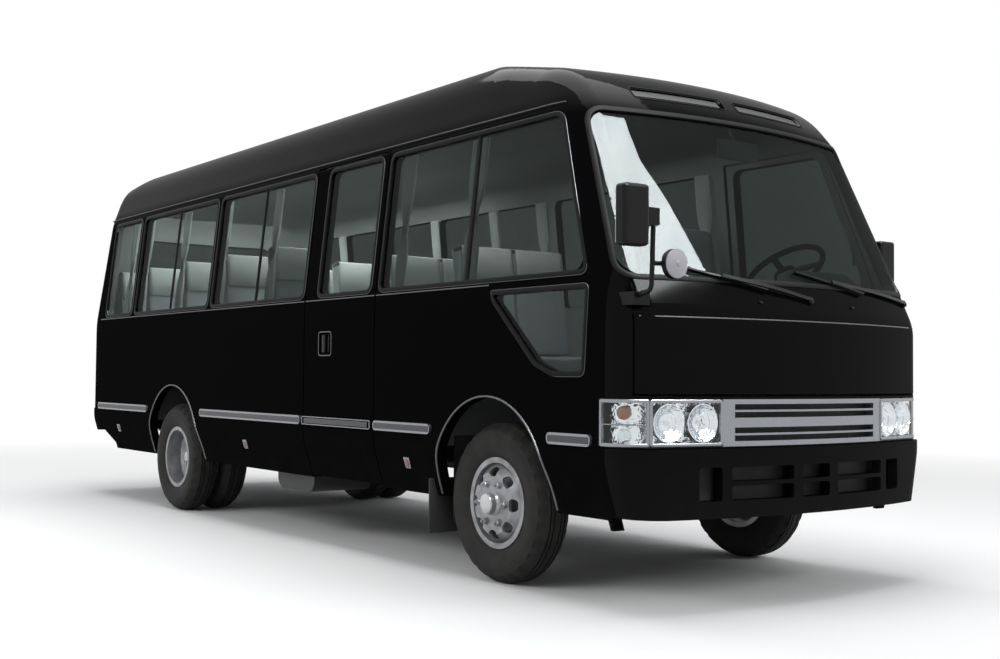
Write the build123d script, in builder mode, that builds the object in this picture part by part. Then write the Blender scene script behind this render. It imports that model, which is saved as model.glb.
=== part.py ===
"""A minibus of about seven metres, in millimetres.

+X points forward, +Y to the bus's left and +Z up. The origin is on the ground, under the
middle of the body. The body is a hollow shell, split where the real panels meet: it is the
space between an outer and an inner envelope, and each panel is the part of that shell inside
its own outline. Glass, lamps and doors are cut from thinner shells of the same envelope.
"""
from math import cos, radians, sin, sqrt
import os

from build123d import *

os.makedirs("parts", exist_ok=True)

# ---------------------------------------------------------------- driving dimensions
LENGTH = 6990               # over the bumpers
FRONT_OVERHANG = 1200       # front bumper to front axle
WHEELBASE = 3935
BODY_HALF = 1005            # half the width over the body sides
BELT_HALF = 912             # half the width at the gutter above the windows
ROOF_Z = 2625               # top of the roof
GUTTER_Z = 2255             # joint between the sides and the roof
BELT_Z = 1430               # bottom of the window band
SILL_Z = 385                # bottom of the body sides
WALL = 55                   # whole thickness of a side, door or roof
DOOR_GAP = 10               # joint around a door
SEAM = 6                    # joint around a lid
HINGE_CLEAR = 0.3           # joint along the hinged edge of a lid

TYRE_R = 386                # 7.00-16 tyre
TYRE_WIDTH = 195
RIM_R = 203                 # bead seat of a 16 inch rim
RIM_WIDTH = 152             # over the flanges
FRONT_TRACK_HALF = 832      # centre plane of a front tyre
REAR_TRACK_HALF = 745       # plane between the twin tyres
TWIN_PITCH = 230            # centre plane to centre plane of the twin tyres
FLOOR_Z = 690               # top of the cabin floor
FLOOR_T = 50

FRONT_X = LENGTH / 2
REAR_X = -LENGTH / 2
FRONT_AXLE_X = FRONT_X - FRONT_OVERHANG
REAR_AXLE_X = FRONT_AXLE_X - WHEELBASE
AXLE_Z = TYRE_R             # wheels rest on the ground plane


def ahead(distance):
    """X of a place measured forward of the front axle."""
    return FRONT_AXLE_X + distance


def box(x0, x1, y0, y1, z0, z1):
    """A block between two corners."""
    middle = Pos((x0 + x1) / 2, (y0 + y1) / 2, (z0 + z1) / 2)
    return middle * Box(x1 - x0, y1 - y0, z1 - z0, mode=Mode.PRIVATE)


def side_prism(points, y0, y1, radius=0.0):
    """An outline drawn in the side view (x, z), extruded across from y0 to y1."""
    with BuildPart(mode=Mode.PRIVATE) as prism:
        with BuildSketch(Plane.XZ.offset(-y1)) as outline:
            with BuildLine():
                Polyline(*points, close=True)
            make_face()
            if radius:
                fillet(outline.vertices(), radius)
        extrude(amount=y1 - y0)
    return prism.part


def front_prism(points, x0, x1, radius=0.0):
    """An outline drawn in the front view (y, z), extruded along from x0 to x1."""
    with BuildPart(mode=Mode.PRIVATE) as prism:
        with BuildSketch(Plane.YZ.offset(x0)) as outline:
            with BuildLine():
                Polyline(*points, close=True)
            make_face()
            if radius:
                fillet(outline.vertices(), radius)
        extrude(amount=x1 - x0)
    return prism.part


def rectangle(u0, u1, v0, v1):
    """Corner points of an upright rectangle in either view."""
    return [(u0, v0), (u1, v0), (u1, v1), (u0, v1)]


# ---------------------------------------------------------------- body envelope
SKIRT_Z = 340               # foot of the envelope, a little below the sill
PROFILE_Z = SKIRT_Z - 140   # foot of the two end profiles
FACE_R = 3360               # plan radius of the front face
TAIL_R = 5000               # plan radius of the rear face
FACE_X = FRONT_X - 22       # front face above the bumper
COWL_Z = 1265               # top of the front lid, foot of the sloping windscreen
FRONT_CUT = ahead(-345)     # where the curved front end joins the straight middle
REAR_CUT = REAR_X + 1150
FRONT_CORNER = 170
REAR_CORNER = 180

# columns: half width, height, rounding radius
SECTION = [
    (BODY_HALF - 89, SKIRT_Z, 0),
    (BODY_HALF, 620, 300),
    (BODY_HALF, 1400, 1500),
    (BELT_HALF, GUTTER_Z, 1500),
    (BELT_HALF - 46, ROOF_Z - 53, 230),
]
ROOF_PEAK = (0, ROOF_Z + 24, 5000)
# columns: distance back from the front face, height, rounding radius
FACE = [
    (0, PROFILE_Z, 40),
    (0, COWL_Z, 250),
    (438, ROOF_Z - 400, 350),
    (618, ROOF_Z - 185, 500),
    (1578, ROOF_Z + 25, 500),
]
# columns: distance forward of the rear end, height, rounding radius
TAIL = [
    (20, PROFILE_Z, 40),
    (20, 1400, 600),
    (140, GUTTER_Z, 300),
    (330, ROOF_Z - 100, 300),
    (1350, ROOF_Z + 25, 800),
]


def section_outline(inset, drop):
    """Cross section of the body, moved in by inset, its foot lowered by drop."""
    foot_half = SECTION[0][0] - drop * (SECTION[1][0] - SECTION[0][0]) / (SECTION[1][1] - SKIRT_Z)
    halves = [(foot_half, SKIRT_Z - drop)] + [(half, z) for half, z, _ in SECTION[1:]]
    right = [(-half, z) for half, z in halves]
    left = [(half, z) for half, z in reversed(halves)]
    radii = [radius for _, _, radius in SECTION[1:]]
    with BuildSketch() as outline:
        with BuildLine():
            side = FilletPolyline(*right, ROOF_PEAK[:2], *left,
                                  radius=[*radii, ROOF_PEAK[2], *reversed(radii)])
            Line(side @ 1, side @ 0)
        make_face()
        if inset:
            offset(amount=-inset, kind=Kind.INTERSECTION)
    return outline.sketch_local


def end_profile(points, radii, inset):
    """Side view outline of one end, from its turning axis outwards."""
    with BuildSketch(Plane.XZ) as outline:
        with BuildLine():
            edge = FilletPolyline(*points, radius=radii)
            Line(edge @ 1, edge @ 0)
        make_face()
        if inset:
            offset(amount=-inset, kind=Kind.INTERSECTION)
    return outline.sketch


def rounded_end(profile, axis_x, cut_x, far_x, corner, inset, drop):
    """One end of the body: the section, met by a face swept round an upright axis."""
    half_turn = 38
    axis = Axis((axis_x, 0, 0), (0, 0, 1))
    face = revolve(profile, axis=axis, revolution_arc=2 * half_turn)
    face = face.rotate(axis, -half_turn)
    with BuildPart(mode=Mode.PRIVATE) as end:
        with BuildSketch(Plane.YZ.offset(min(cut_x, far_x))):
            add(section_outline(inset, drop))
        extrude(amount=abs(far_x - cut_x))
        add(face, mode=Mode.INTERSECT)
        corners = []
        for edge in end.edges():
            start, finish = edge.start_point(), edge.end_point()
            on_cut = abs(start.X - cut_x) < 1 and abs(finish.X - cut_x) < 1
            low = SKIRT_Z - drop + inset + 1
            at_foot = start.Z < low and finish.Z < low
            tangent = edge.tangent_at(0.5)
            level = edge.geom_type == GeomType.CIRCLE and abs(tangent.Z) < 1e-3
            along = edge.geom_type == GeomType.LINE and abs(tangent.X) > 0.99
            if not (on_cut or at_foot or level or along):
                corners.append(edge)
        fillet(corners, corner - inset)
    return end.part


def envelope(inset=0.0, drop=0.0):
    """The whole body as a solid, every face moved in by inset, and its foot lowered by drop."""
    reach = 200
    nose_axis = FACE_X - FACE_R
    nose_points = [(nose_axis + reach, PROFILE_Z - drop)]
    nose_points += [(FACE_X, PROFILE_Z - drop)]
    nose_points += [(FACE_X - back, z) for back, z, _ in FACE[1:]]
    nose_points += [(nose_axis + reach, ROOF_Z + 75)]
    nose = rounded_end(end_profile(nose_points, [r for _, _, r in FACE], inset),
                       nose_axis, FRONT_CUT, FRONT_X + 100, FRONT_CORNER, inset, drop)
    tail_axis = REAR_X + TAIL_R
    tail_points = [(REAR_CUT + 2 * reach, PROFILE_Z - drop)]
    tail_points += [(REAR_X + TAIL[0][0], PROFILE_Z - drop)]
    tail_points += [(REAR_X + forward, z) for forward, z, _ in TAIL[1:]]
    tail_points += [(REAR_CUT + 2 * reach, ROOF_Z + 60)]
    tail = rounded_end(end_profile(tail_points, [r for _, _, r in TAIL], inset),
                       tail_axis, REAR_CUT, REAR_X - 100, REAR_CORNER, inset, drop)
    with BuildPart(mode=Mode.PRIVATE) as body:
        with BuildSketch(Plane.YZ.offset(REAR_CUT)):
            add(section_outline(inset, drop))
        extrude(amount=FRONT_CUT - REAR_CUT)
        add(nose)
        add(tail)
    return body.part




# ---------------------------------------------------------------- the shell and its openings
outer = envelope()
cavity = envelope(WALL, drop=100)           # the room inside, open at its foot
with BuildPart() as shell:
    add(outer)
    add(cavity, mode=Mode.SUBTRACT)
GLASS_DEPTH = 8                             # skin to the outside of the glass
GLASS_T = 6
glass_outside = envelope(GLASS_DEPTH)
glass_inside = envelope(GLASS_DEPTH + GLASS_T)

NOSE_SEAM = [(ahead(845), 0), (ahead(845), BELT_Z), (ahead(560), GUTTER_Z), (ahead(440), 2700)]
TAIL_SEAM_X = ahead(-5475)
front_zone = side_prism(NOSE_SEAM + [(FRONT_X + 200, 2700), (FRONT_X + 200, 0)], -1300, 1300)
roof_zone = side_prism([(TAIL_SEAM_X, GUTTER_Z), NOSE_SEAM[2], NOSE_SEAM[3], (TAIL_SEAM_X, 2700)],
                       -1300, 1300)
SIDE_OUTLINE = [(TAIL_SEAM_X, SILL_Z), (ahead(845), SILL_Z), NOSE_SEAM[1], NOSE_SEAM[2],
                (TAIL_SEAM_X, GUTTER_Z)]

# windows along the sides, as distances from the front axle
WINDOW_Z = (1465, 2195)
WINDOW_R = 55
# columns: rear edge, front edge
RIGHT_WINDOWS = [(-5335, -4765), (-4680, -3300), (-3220, -1870)]
LEFT_WINDOWS = RIGHT_WINDOWS + [(-1790, -290)]
FRONT_WINDOW = [(-970, WINDOW_Z[0]), (765, WINDOW_Z[0]), (490, WINDOW_Z[1]), (-970, WINDOW_Z[1])]
LOW_WINDOW = [(85, 1385), (105, 1345), (415, 1065), (540, 1020), (750, 1020), (775, 1385)]
DOOR_WINDOW = (-1667, -1078)
DRIVER_WINDOW = [(-140, WINDOW_Z[0]), (735, WINDOW_Z[0]), (478, WINDOW_Z[1]), (-140, WINDOW_Z[1])]


def right_prism(points, radius=WINDOW_R):
    """A prism through the right side only, from an outline measured from the front axle."""
    return side_prism([(ahead(x), z) for x, z in points], -1300, -600, radius)


def left_prism(points, radius=WINDOW_R):
    """A prism through the left side only, from an outline measured from the front axle."""
    return side_prism([(ahead(x), z) for x, z in points], 600, 1300, radius)


right_window_prisms = [right_prism(rectangle(*span, *WINDOW_Z)) for span in RIGHT_WINDOWS]
right_window_prisms += [right_prism(FRONT_WINDOW), right_prism(LOW_WINDOW, 18)]
left_window_prisms = [left_prism(rectangle(*span, *WINDOW_Z)) for span in LEFT_WINDOWS]
door_window_prism = right_prism(rectangle(*DOOR_WINDOW, *WINDOW_Z))
driver_window_prism = left_prism(DRIVER_WINDOW)

# wheel arches, as a centre ahead of the axle, a height and a radius
ARCH_Z = 436
FRONT_ARCH = (ahead(42), 460)
REAR_ARCH = (REAR_AXLE_X + 55, 468)


def arch_prism(center_x, radius, y0, y1):
    """The opening over a wheel: a half round on upright sides."""
    with BuildPart(mode=Mode.PRIVATE) as prism:
        with BuildSketch(Plane.XZ.offset(-y1)):
            with Locations((center_x, ARCH_Z)):
                Circle(radius)
            with Locations((center_x, ARCH_Z / 2)):
                Rectangle(2 * radius, ARCH_Z)
        extrude(amount=y1 - y0)
    return prism.part


arch_prisms = [arch_prism(*arch, -1300, 1300) for arch in (FRONT_ARCH, REAR_ARCH)]

# passenger door, on the right
DOOR_REAR, DOOR_FRONT = ahead(-1826), ahead(-1016)
DOOR_Z = (400, 2225)
door_zone = side_prism(rectangle(DOOR_REAR, DOOR_FRONT, *DOOR_Z), -1300, -600)
doorway = side_prism(rectangle(DOOR_REAR - DOOR_GAP, DOOR_FRONT + DOOR_GAP, 0, DOOR_Z[1] + DOOR_GAP),
                     -1300, -600)

# driver's door, on the left, cut round the front wheel arch
DRIVER_REAR, DRIVER_FRONT = ahead(-200), ahead(800)
DRIVER_SILL_Z = 480
DRIVER_ARC_R = 545


def driver_outline(grow):
    """Side outline of the driver's door, or with grow of the opening around it."""
    rear, front = DRIVER_REAR - grow, DRIVER_FRONT + grow
    low, high = DRIVER_SILL_Z - grow, DOOR_Z[1] + grow
    radius = DRIVER_ARC_R - grow
    center_x = FRONT_ARCH[0]
    rear_low = AXLE_Z + sqrt(radius ** 2 - (center_x - rear) ** 2)
    front_low = center_x + sqrt(radius ** 2 - (low - AXLE_Z) ** 2)
    middle = (center_x + radius * cos(radians(60)), AXLE_Z + radius * sin(radians(60)))
    rake = (NOSE_SEAM[2][0] - NOSE_SEAM[1][0]) / (GUTTER_Z - BELT_Z)
    with BuildPart(mode=Mode.PRIVATE) as prism:
        with BuildSketch(Plane.XZ.offset(-1300)):
            with BuildLine():
                ThreePointArc((rear, rear_low), middle, (front_low, low))
                Polyline((front_low, low), (front, low), (front, BELT_Z),
                         (front + rake * (high - BELT_Z), high), (rear, high), (rear, rear_low))
            make_face()
        extrude(amount=1300 - 600)
    return prism.part


driver_zone = driver_outline(0)
driver_opening = driver_outline(DOOR_GAP)

# windscreen: an outline in the front view, ahead of a raked plane
SCREEN = [(-955, 1437), (955, 1437), (855, 2210), (-855, 2210)]
screen_rake = side_prism([(ahead(890), 1380), (ahead(520), 2270), (FRONT_X + 200, 2270),
                          (FRONT_X + 200, 1380)], -1300, 1300)
with BuildPart() as screen_prism:
    add(front_prism(SCREEN, ahead(300), FRONT_X + 200, 80))
    add(screen_rake, mode=Mode.INTERSECT)

# nose: front lid, lamp band and bumper
HOOD_Z = (930, COWL_Z)
HOOD_HALF = 946
BAND_Z = (705, 908)
BAND_X = ahead(866)
GRILLE_HALF = 533
HEADLAMP_HALF = 889
BUMPER_TOP = 698
BUMPER_FOOT = 400
BUMPER_X = ahead(870)
BUMPER_PROUD = 22
hood_zone = box(ahead(700), FRONT_X + 100, -HOOD_HALF, HOOD_HALF, *HOOD_Z)
hood_opening = box(ahead(700), FRONT_X + 100, -HOOD_HALF - SEAM, HOOD_HALF + SEAM,
                   HOOD_Z[0] - DOOR_GAP, HOOD_Z[1] + HINGE_CLEAR)
band_zone = box(BAND_X, FRONT_X + 100, -1300, 1300, *BAND_Z)
bumper_opening = box(BUMPER_X, FRONT_X + 100, -1300, 1300, 0, BUMPER_TOP + 2)

# rebates: the edge that swings past its frame is thin, and the panel behind it is set back
with BuildPart() as hood_rebate:
    add(box(ahead(700), FRONT_X + 100, -1300, 1300, HOOD_Z[0] - 1, HOOD_Z[0] + 32))
    add(glass_inside, mode=Mode.INTERSECT)
with BuildPart() as door_rebate:
    add(box(DRIVER_REAR - 1, DRIVER_REAR + 14, 600, 1300, BELT_Z - 200, DOOR_Z[1] + 1))
    add(glass_inside, mode=Mode.INTERSECT)

# the heel of the driver's door turns under the body, so it is cut back to swing past the arch
door_heel = side_prism([(ahead(500), 625), (ahead(542), 625), (ahead(606), 470), (ahead(500), 470)],
                       600, 1300)

# shallow recesses in the skin: two air slots over the windscreen and the door's handle cup
RECESS_R = 10
BROW_SLOT_Y = (45, 580)
BROW_SLOT_Z = (2300, 2354)
HANDLE_X = (-1645, -1500)
HANDLE_Z = (1111, 1242)
with BuildPart() as brow_slots:
    for side in (-1, 1):
        add(front_prism(rectangle(side * BROW_SLOT_Y[0], side * BROW_SLOT_Y[1], *BROW_SLOT_Z),
                        ahead(200), FRONT_X, 2 * RECESS_R))
    add(glass_inside, mode=Mode.SUBTRACT)
with BuildPart() as handle_recess:
    add(right_prism(rectangle(*HANDLE_X, *HANDLE_Z), 2 * RECESS_R))
    add(glass_inside, mode=Mode.SUBTRACT)

# air intake of the front bumper
# columns: left edge, right edge, foot, top of a slot, as places across the bus and heights
INTAKE_ROWS = [(474, 538), (556, 618)]
INTAKE_SLOTS = [(y0, y1, *row) for row in INTAKE_ROWS for y0, y1 in ((-505, -150), (-90, 90), (150, 505))]
INTAKE_SLOTS += [(y0, y1, INTAKE_ROWS[0][0], INTAKE_ROWS[1][1]) for y0, y1 in ((-671, -555), (555, 671))]
INTAKE_R = 14
intake_prisms = [front_prism(rectangle(*slot), BUMPER_X, FRONT_X + 100, INTAKE_R)
                 for slot in INTAKE_SLOTS]

# tail: top-hinged tailgate with a window, lamps beside it, bumper
GATE_HALF = 650
GATE_Z = (880, 2215)
GATE_WINDOW_HALF = 575
GATE_WINDOW_Z = (1470, 2130)
TAIL_LAMP_Y = (715, 905)
TAIL_LAMP_Z = (800, 1210)
gate_zone = box(REAR_X - 100, REAR_X + 500, -GATE_HALF, GATE_HALF, *GATE_Z)
gate_opening = box(REAR_X - 100, REAR_X + 500, -GATE_HALF - SEAM, GATE_HALF + SEAM,
                   GATE_Z[0] - SEAM, GATE_Z[1] + HINGE_CLEAR)
gate_window_prism = front_prism(rectangle(-GATE_WINDOW_HALF, GATE_WINDOW_HALF, *GATE_WINDOW_Z),
                                REAR_X - 100, REAR_X + 500, 70)
tail_lamp_zones = [box(REAR_X - 100, REAR_X + 300, min(side * y for y in TAIL_LAMP_Y),
                       max(side * y for y in TAIL_LAMP_Y), *TAIL_LAMP_Z) for side in (-1, 1)]
REAR_BUMPER_Z = (520, 700)
REAR_BUMPER_X = ahead(-5520)
rear_foot = side_prism([(ahead(-5450), 0), (ahead(-5200), 0), (ahead(-5200), 430),
                        (ahead(-5520), 600), (REAR_X - 100, 600), (REAR_X - 100, 0)], -1300, 1300)
rear_bumper_opening = box(REAR_X - 100, REAR_BUMPER_X, -1300, 1300, 0, REAR_BUMPER_Z[1] + 2)

STRIP_Z = (700, 752)
STRIP_T = 16


def rub_strip(x0, x1, side):
    """A length of the side rub strip, with rounded ends."""
    inner, outer_face = side * BODY_HALF, side * (BODY_HALF + STRIP_T)
    y0, y1 = min(inner, outer_face), max(inner, outer_face)
    return side_prism(rectangle(ahead(x0), ahead(x1), *STRIP_Z), y0, y1, 22)


# ---------------------------------------------------------------- body panels
with BuildPart() as side_wall_right:
    add(shell.part)
    add(side_prism(SIDE_OUTLINE, -1300, 0), mode=Mode.INTERSECT)
    add([*arch_prisms, doorway, rear_foot, *right_window_prisms], mode=Mode.SUBTRACT)

with BuildPart() as side_wall_left:
    add(shell.part)
    add(side_prism(SIDE_OUTLINE, 0, 1300), mode=Mode.INTERSECT)
    add([*arch_prisms, driver_opening, rear_foot, *left_window_prisms], mode=Mode.SUBTRACT)

with BuildPart() as roof:
    add(shell.part)
    add(roof_zone, mode=Mode.INTERSECT)

with BuildPart() as front_shell:
    add(shell.part)
    add(front_zone, mode=Mode.INTERSECT)
    add([screen_prism.part, hood_opening, band_zone, bumper_opening], mode=Mode.SUBTRACT)
    add(brow_slots.part, mode=Mode.SUBTRACT)

with BuildPart() as rear_shell:
    add(shell.part)
    add(box(REAR_X - 100, TAIL_SEAM_X, -1300, 1300, SILL_Z, 2700), mode=Mode.INTERSECT)
    add([gate_opening, *tail_lamp_zones, rear_foot, rear_bumper_opening], mode=Mode.SUBTRACT)

with BuildPart() as hood:
    add(shell.part)
    add(hood_zone, mode=Mode.INTERSECT)
    add(hood_rebate.part, mode=Mode.SUBTRACT)

with BuildPart() as tailgate:
    add(shell.part)
    add(gate_zone, mode=Mode.INTERSECT)
    add(gate_window_prism, mode=Mode.SUBTRACT)

with BuildPart() as front_bumper:
    add(Pos(BUMPER_PROUD, 0, 0) * shell.part)
    add(box(BUMPER_X, FRONT_X + 100, -1300, 1300, BUMPER_FOOT, BUMPER_TOP), mode=Mode.INTERSECT)
    add(intake_prisms, mode=Mode.SUBTRACT)

with BuildPart() as rear_bumper:
    add(Pos(-20, 0, 0) * shell.part)
    add(box(REAR_X - 100, REAR_BUMPER_X, -1300, 1300, *REAR_BUMPER_Z), mode=Mode.INTERSECT)

GRILLE_SLOT_HALF = 471
# columns: foot, top of a slot; a slim bar parts each pair
GRILLE_SLOTS = [(727, 752), (761, 786), (828, 853), (862, 887)]
with BuildPart() as grille:
    add(shell.part)
    add(box(BAND_X, FRONT_X + 100, -GRILLE_HALF, GRILLE_HALF, *BAND_Z), mode=Mode.INTERSECT)
    add([box(ahead(700), FRONT_X + 100, -GRILLE_SLOT_HALF, GRILLE_SLOT_HALF, *slot)
         for slot in GRILLE_SLOTS], mode=Mode.SUBTRACT)

with BuildPart() as front_lamps:            # head lamps, then the lamps round the corners
    add(shell.part)
    add(band_zone, mode=Mode.INTERSECT)
    add(box(BAND_X, FRONT_X + 100, -GRILLE_HALF - 1, GRILLE_HALF + 1, 0, 1000), mode=Mode.SUBTRACT)
    for side in (-1, 1):
        middle = side * HEADLAMP_HALF
        add(box(BAND_X, FRONT_X + 100, middle - 1, middle + 1, 0, 1000), mode=Mode.SUBTRACT)

with BuildPart() as tail_lamps:
    add(shell.part)
    add(tail_lamp_zones, mode=Mode.INTERSECT)


with BuildPart() as windshield:
    add(screen_prism.part)
    add(glass_outside, mode=Mode.INTERSECT)
    add(glass_inside, mode=Mode.SUBTRACT)

with BuildPart() as side_glass:
    add([*right_window_prisms, *left_window_prisms])
    add(glass_outside, mode=Mode.INTERSECT)
    add(glass_inside, mode=Mode.SUBTRACT)

with BuildPart() as tailgate_glass:
    add(gate_window_prism)
    add(glass_outside, mode=Mode.INTERSECT)
    add(glass_inside, mode=Mode.SUBTRACT)

# ---------------------------------------------------------------- doors
with BuildPart() as passenger_door:
    add(shell.part)
    add(door_zone, mode=Mode.INTERSECT)
    add([door_window_prism, handle_recess.part], mode=Mode.SUBTRACT)
    add(rub_strip(-1800, -1040, -1))

with BuildPart() as passenger_door_glass:
    add(door_window_prism)
    add(glass_outside, mode=Mode.INTERSECT)
    add(glass_inside, mode=Mode.SUBTRACT)

with BuildPart() as driver_door:
    add(shell.part)
    add(driver_zone, mode=Mode.INTERSECT)
    add([driver_window_prism, door_rebate.part, door_heel], mode=Mode.SUBTRACT)
    add(rub_strip(620, 785, 1))

with BuildPart() as driver_door_glass:
    add(driver_window_prism)
    add(glass_outside, mode=Mode.INTERSECT)
    add(glass_inside, mode=Mode.SUBTRACT)

# The passenger door swings out and forward on two cranked arms, and stays parallel to the side.
POST_X = ahead(-1078)
POST_Y = -890
POST_R = 17
POST_Z = (560, 1340)
ARM_REACH = 470                             # post to the door's own pivot, in plan
ARM_R = 15
ELBOW_REACH = 165
ELBOW_TURN = 115                            # degrees from straight ahead, at rest
ARM_HEIGHTS = (640, 1270)
PIVOT_R = 10
PIVOT_CLEAR = 0.5
BRACKET_T = 20
elbow_x = POST_X + ELBOW_REACH * cos(radians(ELBOW_TURN))
elbow_y = POST_Y + ELBOW_REACH * sin(radians(ELBOW_TURN))
PIVOT_X = POST_X - ARM_REACH

with BuildPart() as door_arm:
    with Locations((POST_X, POST_Y, POST_Z[0] + BRACKET_T + 1)):
        Cylinder(POST_R, POST_Z[1] - POST_Z[0] - 2 * BRACKET_T - 2,
                 align=(Align.CENTER, Align.CENTER, Align.MIN))
    with Locations((POST_X, POST_Y, POST_Z[0])):
        Cylinder(PIVOT_R, POST_Z[1] - POST_Z[0], align=(Align.CENTER, Align.CENTER, Align.MIN))
    for height in ARM_HEIGHTS:
        with BuildSketch(Plane.XY.offset(height - ARM_R)):
            with BuildLine():
                Polyline((POST_X, POST_Y), (elbow_x, elbow_y), (PIVOT_X, POST_Y))
            trace(line_width=2 * ARM_R)
        extrude(amount=2 * ARM_R)
        with Locations((PIVOT_X, POST_Y, height)):
            Cylinder(2 * ARM_R, 2 * ARM_R)
            Cylinder(PIVOT_R + PIVOT_CLEAR, 4 * ARM_R, mode=Mode.SUBTRACT)

DOOR_EAR_GAP = 1
with BuildPart() as door_ears:              # brackets on the door that hold the arms' far ends
    for height in ARM_HEIGHTS:
        for end in (-1, 1):
            middle_z = height + end * (ARM_R + DOOR_EAR_GAP + BRACKET_T / 2)
            with BuildSketch(Plane.XY.offset(middle_z - BRACKET_T / 2)):
                with Locations((PIVOT_X, (POST_Y - 970) / 2)):
                    Rectangle(60, POST_Y + 970)
                with Locations((PIVOT_X, POST_Y)):
                    Circle(30)
            extrude(amount=BRACKET_T)
        with Locations((PIVOT_X, POST_Y, height)):
            Cylinder(PIVOT_R, 2 * (ARM_R + DOOR_EAR_GAP + BRACKET_T))
with BuildPart() as passenger_door_whole:
    add(passenger_door.part)
    add(door_ears.part)

with BuildPart() as post_brackets:          # brackets on the body that hold the post
    for foot in (POST_Z[0], POST_Z[1] - BRACKET_T):
        with BuildSketch(Plane.XY.offset(foot)):
            with BuildLine():
                Polyline((POST_X - 30, POST_Y - 25), (POST_X - 30, POST_Y + 35),
                         (DOOR_FRONT + 120, POST_Y + 35), (DOOR_FRONT + 120, -970),
                         (DOOR_FRONT + 20, -970), (DOOR_FRONT + 20, POST_Y - 25), close=True)
            make_face()
            with Locations((POST_X, POST_Y)):
                Circle(PIVOT_R + PIVOT_CLEAR, mode=Mode.SUBTRACT)
        extrude(amount=BRACKET_T)
with BuildPart() as side_wall_right_whole:
    add(side_wall_right.part)
    add(post_brackets.part)

# ---------------------------------------------------------------- frame and floor
RAIL_Y = (360, 430)
RAIL_Z = (500, FLOOR_Z - FLOOR_T)
FRAME_FRONT, FRAME_REAR = ahead(960), ahead(-5600)
CROSS_XS = (ahead(900), ahead(-1000), ahead(-1750), ahead(-2900), ahead(-4700), ahead(-5500))
CROSS_LENGTH = 90
OUTRIGGER_XS = (ahead(660), ahead(-620), ahead(-2300), ahead(-3200), ahead(-4600), ahead(-5150))
OUTRIGGER_LENGTH = 60
with BuildPart() as chassis_frame:
    for side in (-1, 1):
        y0, y1 = sorted((side * RAIL_Y[0], side * RAIL_Y[1]))
        add(box(FRAME_REAR, FRAME_FRONT, y0, y1, *RAIL_Z))
    for x in CROSS_XS:
        add(box(x - CROSS_LENGTH / 2, x + CROSS_LENGTH / 2, -RAIL_Y[0], RAIL_Y[0],
                RAIL_Z[0] + 20, RAIL_Z[1]))
outrigger_blocks = [box(x - OUTRIGGER_LENGTH / 2, x + OUTRIGGER_LENGTH / 2, -1100, 1100,
                        RAIL_Z[1] - 80, RAIL_Z[1]) for x in OUTRIGGER_XS]
with BuildPart() as outriggers:
    add(outrigger_blocks)
    add(cavity, mode=Mode.INTERSECT)
    add(box(FRAME_REAR, FRAME_FRONT, -RAIL_Y[0], RAIL_Y[0], 0, 1000), mode=Mode.SUBTRACT)
TOW_BORE_R = 16
TOW_T = 20
TOW_X = FRAME_FRONT + 60
TOW_Y = sum(RAIL_Y) / 2
HITCH_T = 12                                # plate across the rails' rear ends
HITCH_SPACING = (200, 60)
HITCH_HOLE_R = 7
HITCH_Z = 575
with BuildPart() as chassis_frame_whole:
    add(chassis_frame.part)
    add(outriggers.part)
    add(box(FRAME_FRONT, TOW_X + 40, *RAIL_Y, RAIL_Z[0], RAIL_Z[0] + TOW_T))
    with Locations((TOW_X, TOW_Y, RAIL_Z[0])):
        Cylinder(TOW_BORE_R, 4 * TOW_T, mode=Mode.SUBTRACT)
    add(box(FRAME_REAR - HITCH_T, FRAME_REAR, -RAIL_Y[1], RAIL_Y[1], RAIL_Z[0], RAIL_Z[1]))
    with Locations(Location((FRAME_REAR, 0, HITCH_Z), (0, 90, 0))):
        with GridLocations(HITCH_SPACING[1], HITCH_SPACING[0], 2, 2):
            Cylinder(HITCH_HOLE_R, 4 * HITCH_T, mode=Mode.SUBTRACT)

WELL_HALF_X = 500
WELL_INNER_Y = 470
WELL_TOP = 915
SHEET = 20                                  # thickness of wheel wells, risers and covers
STEP_X = (DOOR_REAR - DOOR_GAP, DOOR_FRONT + DOOR_GAP)
STEP_EDGE_Y = -540                          # inner edge of the step well
STEP_MIDDLE_Y = -700
STEP_Z = (430, 560)                         # tops of the two steps
ENGINE_X = (ahead(-300), ahead(600))
ENGINE_HALF = 270
ENGINE_Z = (430, 900)
GEARBOX_HALF = 140
COVER_CLEAR = 40
FIREWALL_X = ahead(720)
FIREWALL_TOP = 1300
FLOOR_FRONT = ahead(980)

well_centers = [(FRONT_ARCH[0], side) for side in (-1, 1)]
well_centers += [(REAR_ARCH[0], side) for side in (-1, 1)]


def side_box(x0, x1, inner, reach, side, z0, z1):
    """A block on one side of the middle, from inner to reach outwards."""
    y0, y1 = sorted((side * inner, side * reach))
    return box(x0, x1, y0, y1, z0, z1)


well_blocks = [side_box(x - WELL_HALF_X, x + WELL_HALF_X, WELL_INNER_Y - SHEET, 1100, side,
                        FLOOR_Z - FLOOR_T, WELL_TOP + SHEET) for x, side in well_centers]
well_rooms = [side_box(x - WELL_HALF_X + SHEET, x + WELL_HALF_X - SHEET, WELL_INNER_Y, 1100, side,
                       0, WELL_TOP) for x, side in well_centers]
cover_block = box(ENGINE_X[0] - COVER_CLEAR - SHEET, ENGINE_X[1] + COVER_CLEAR + SHEET,
                  -ENGINE_HALF - COVER_CLEAR - SHEET, ENGINE_HALF + COVER_CLEAR + SHEET,
                  FLOOR_Z - FLOOR_T, ENGINE_Z[1] + COVER_CLEAR + SHEET)
cover_room = box(ENGINE_X[0] - COVER_CLEAR, ENGINE_X[1] + COVER_CLEAR,
                 -ENGINE_HALF - COVER_CLEAR, ENGINE_HALF + COVER_CLEAR,
                 0, ENGINE_Z[1] + COVER_CLEAR)
step_block = box(*STEP_X, -1100, STEP_EDGE_Y + SHEET, STEP_Z[0] - 30, FLOOR_Z)
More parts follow.
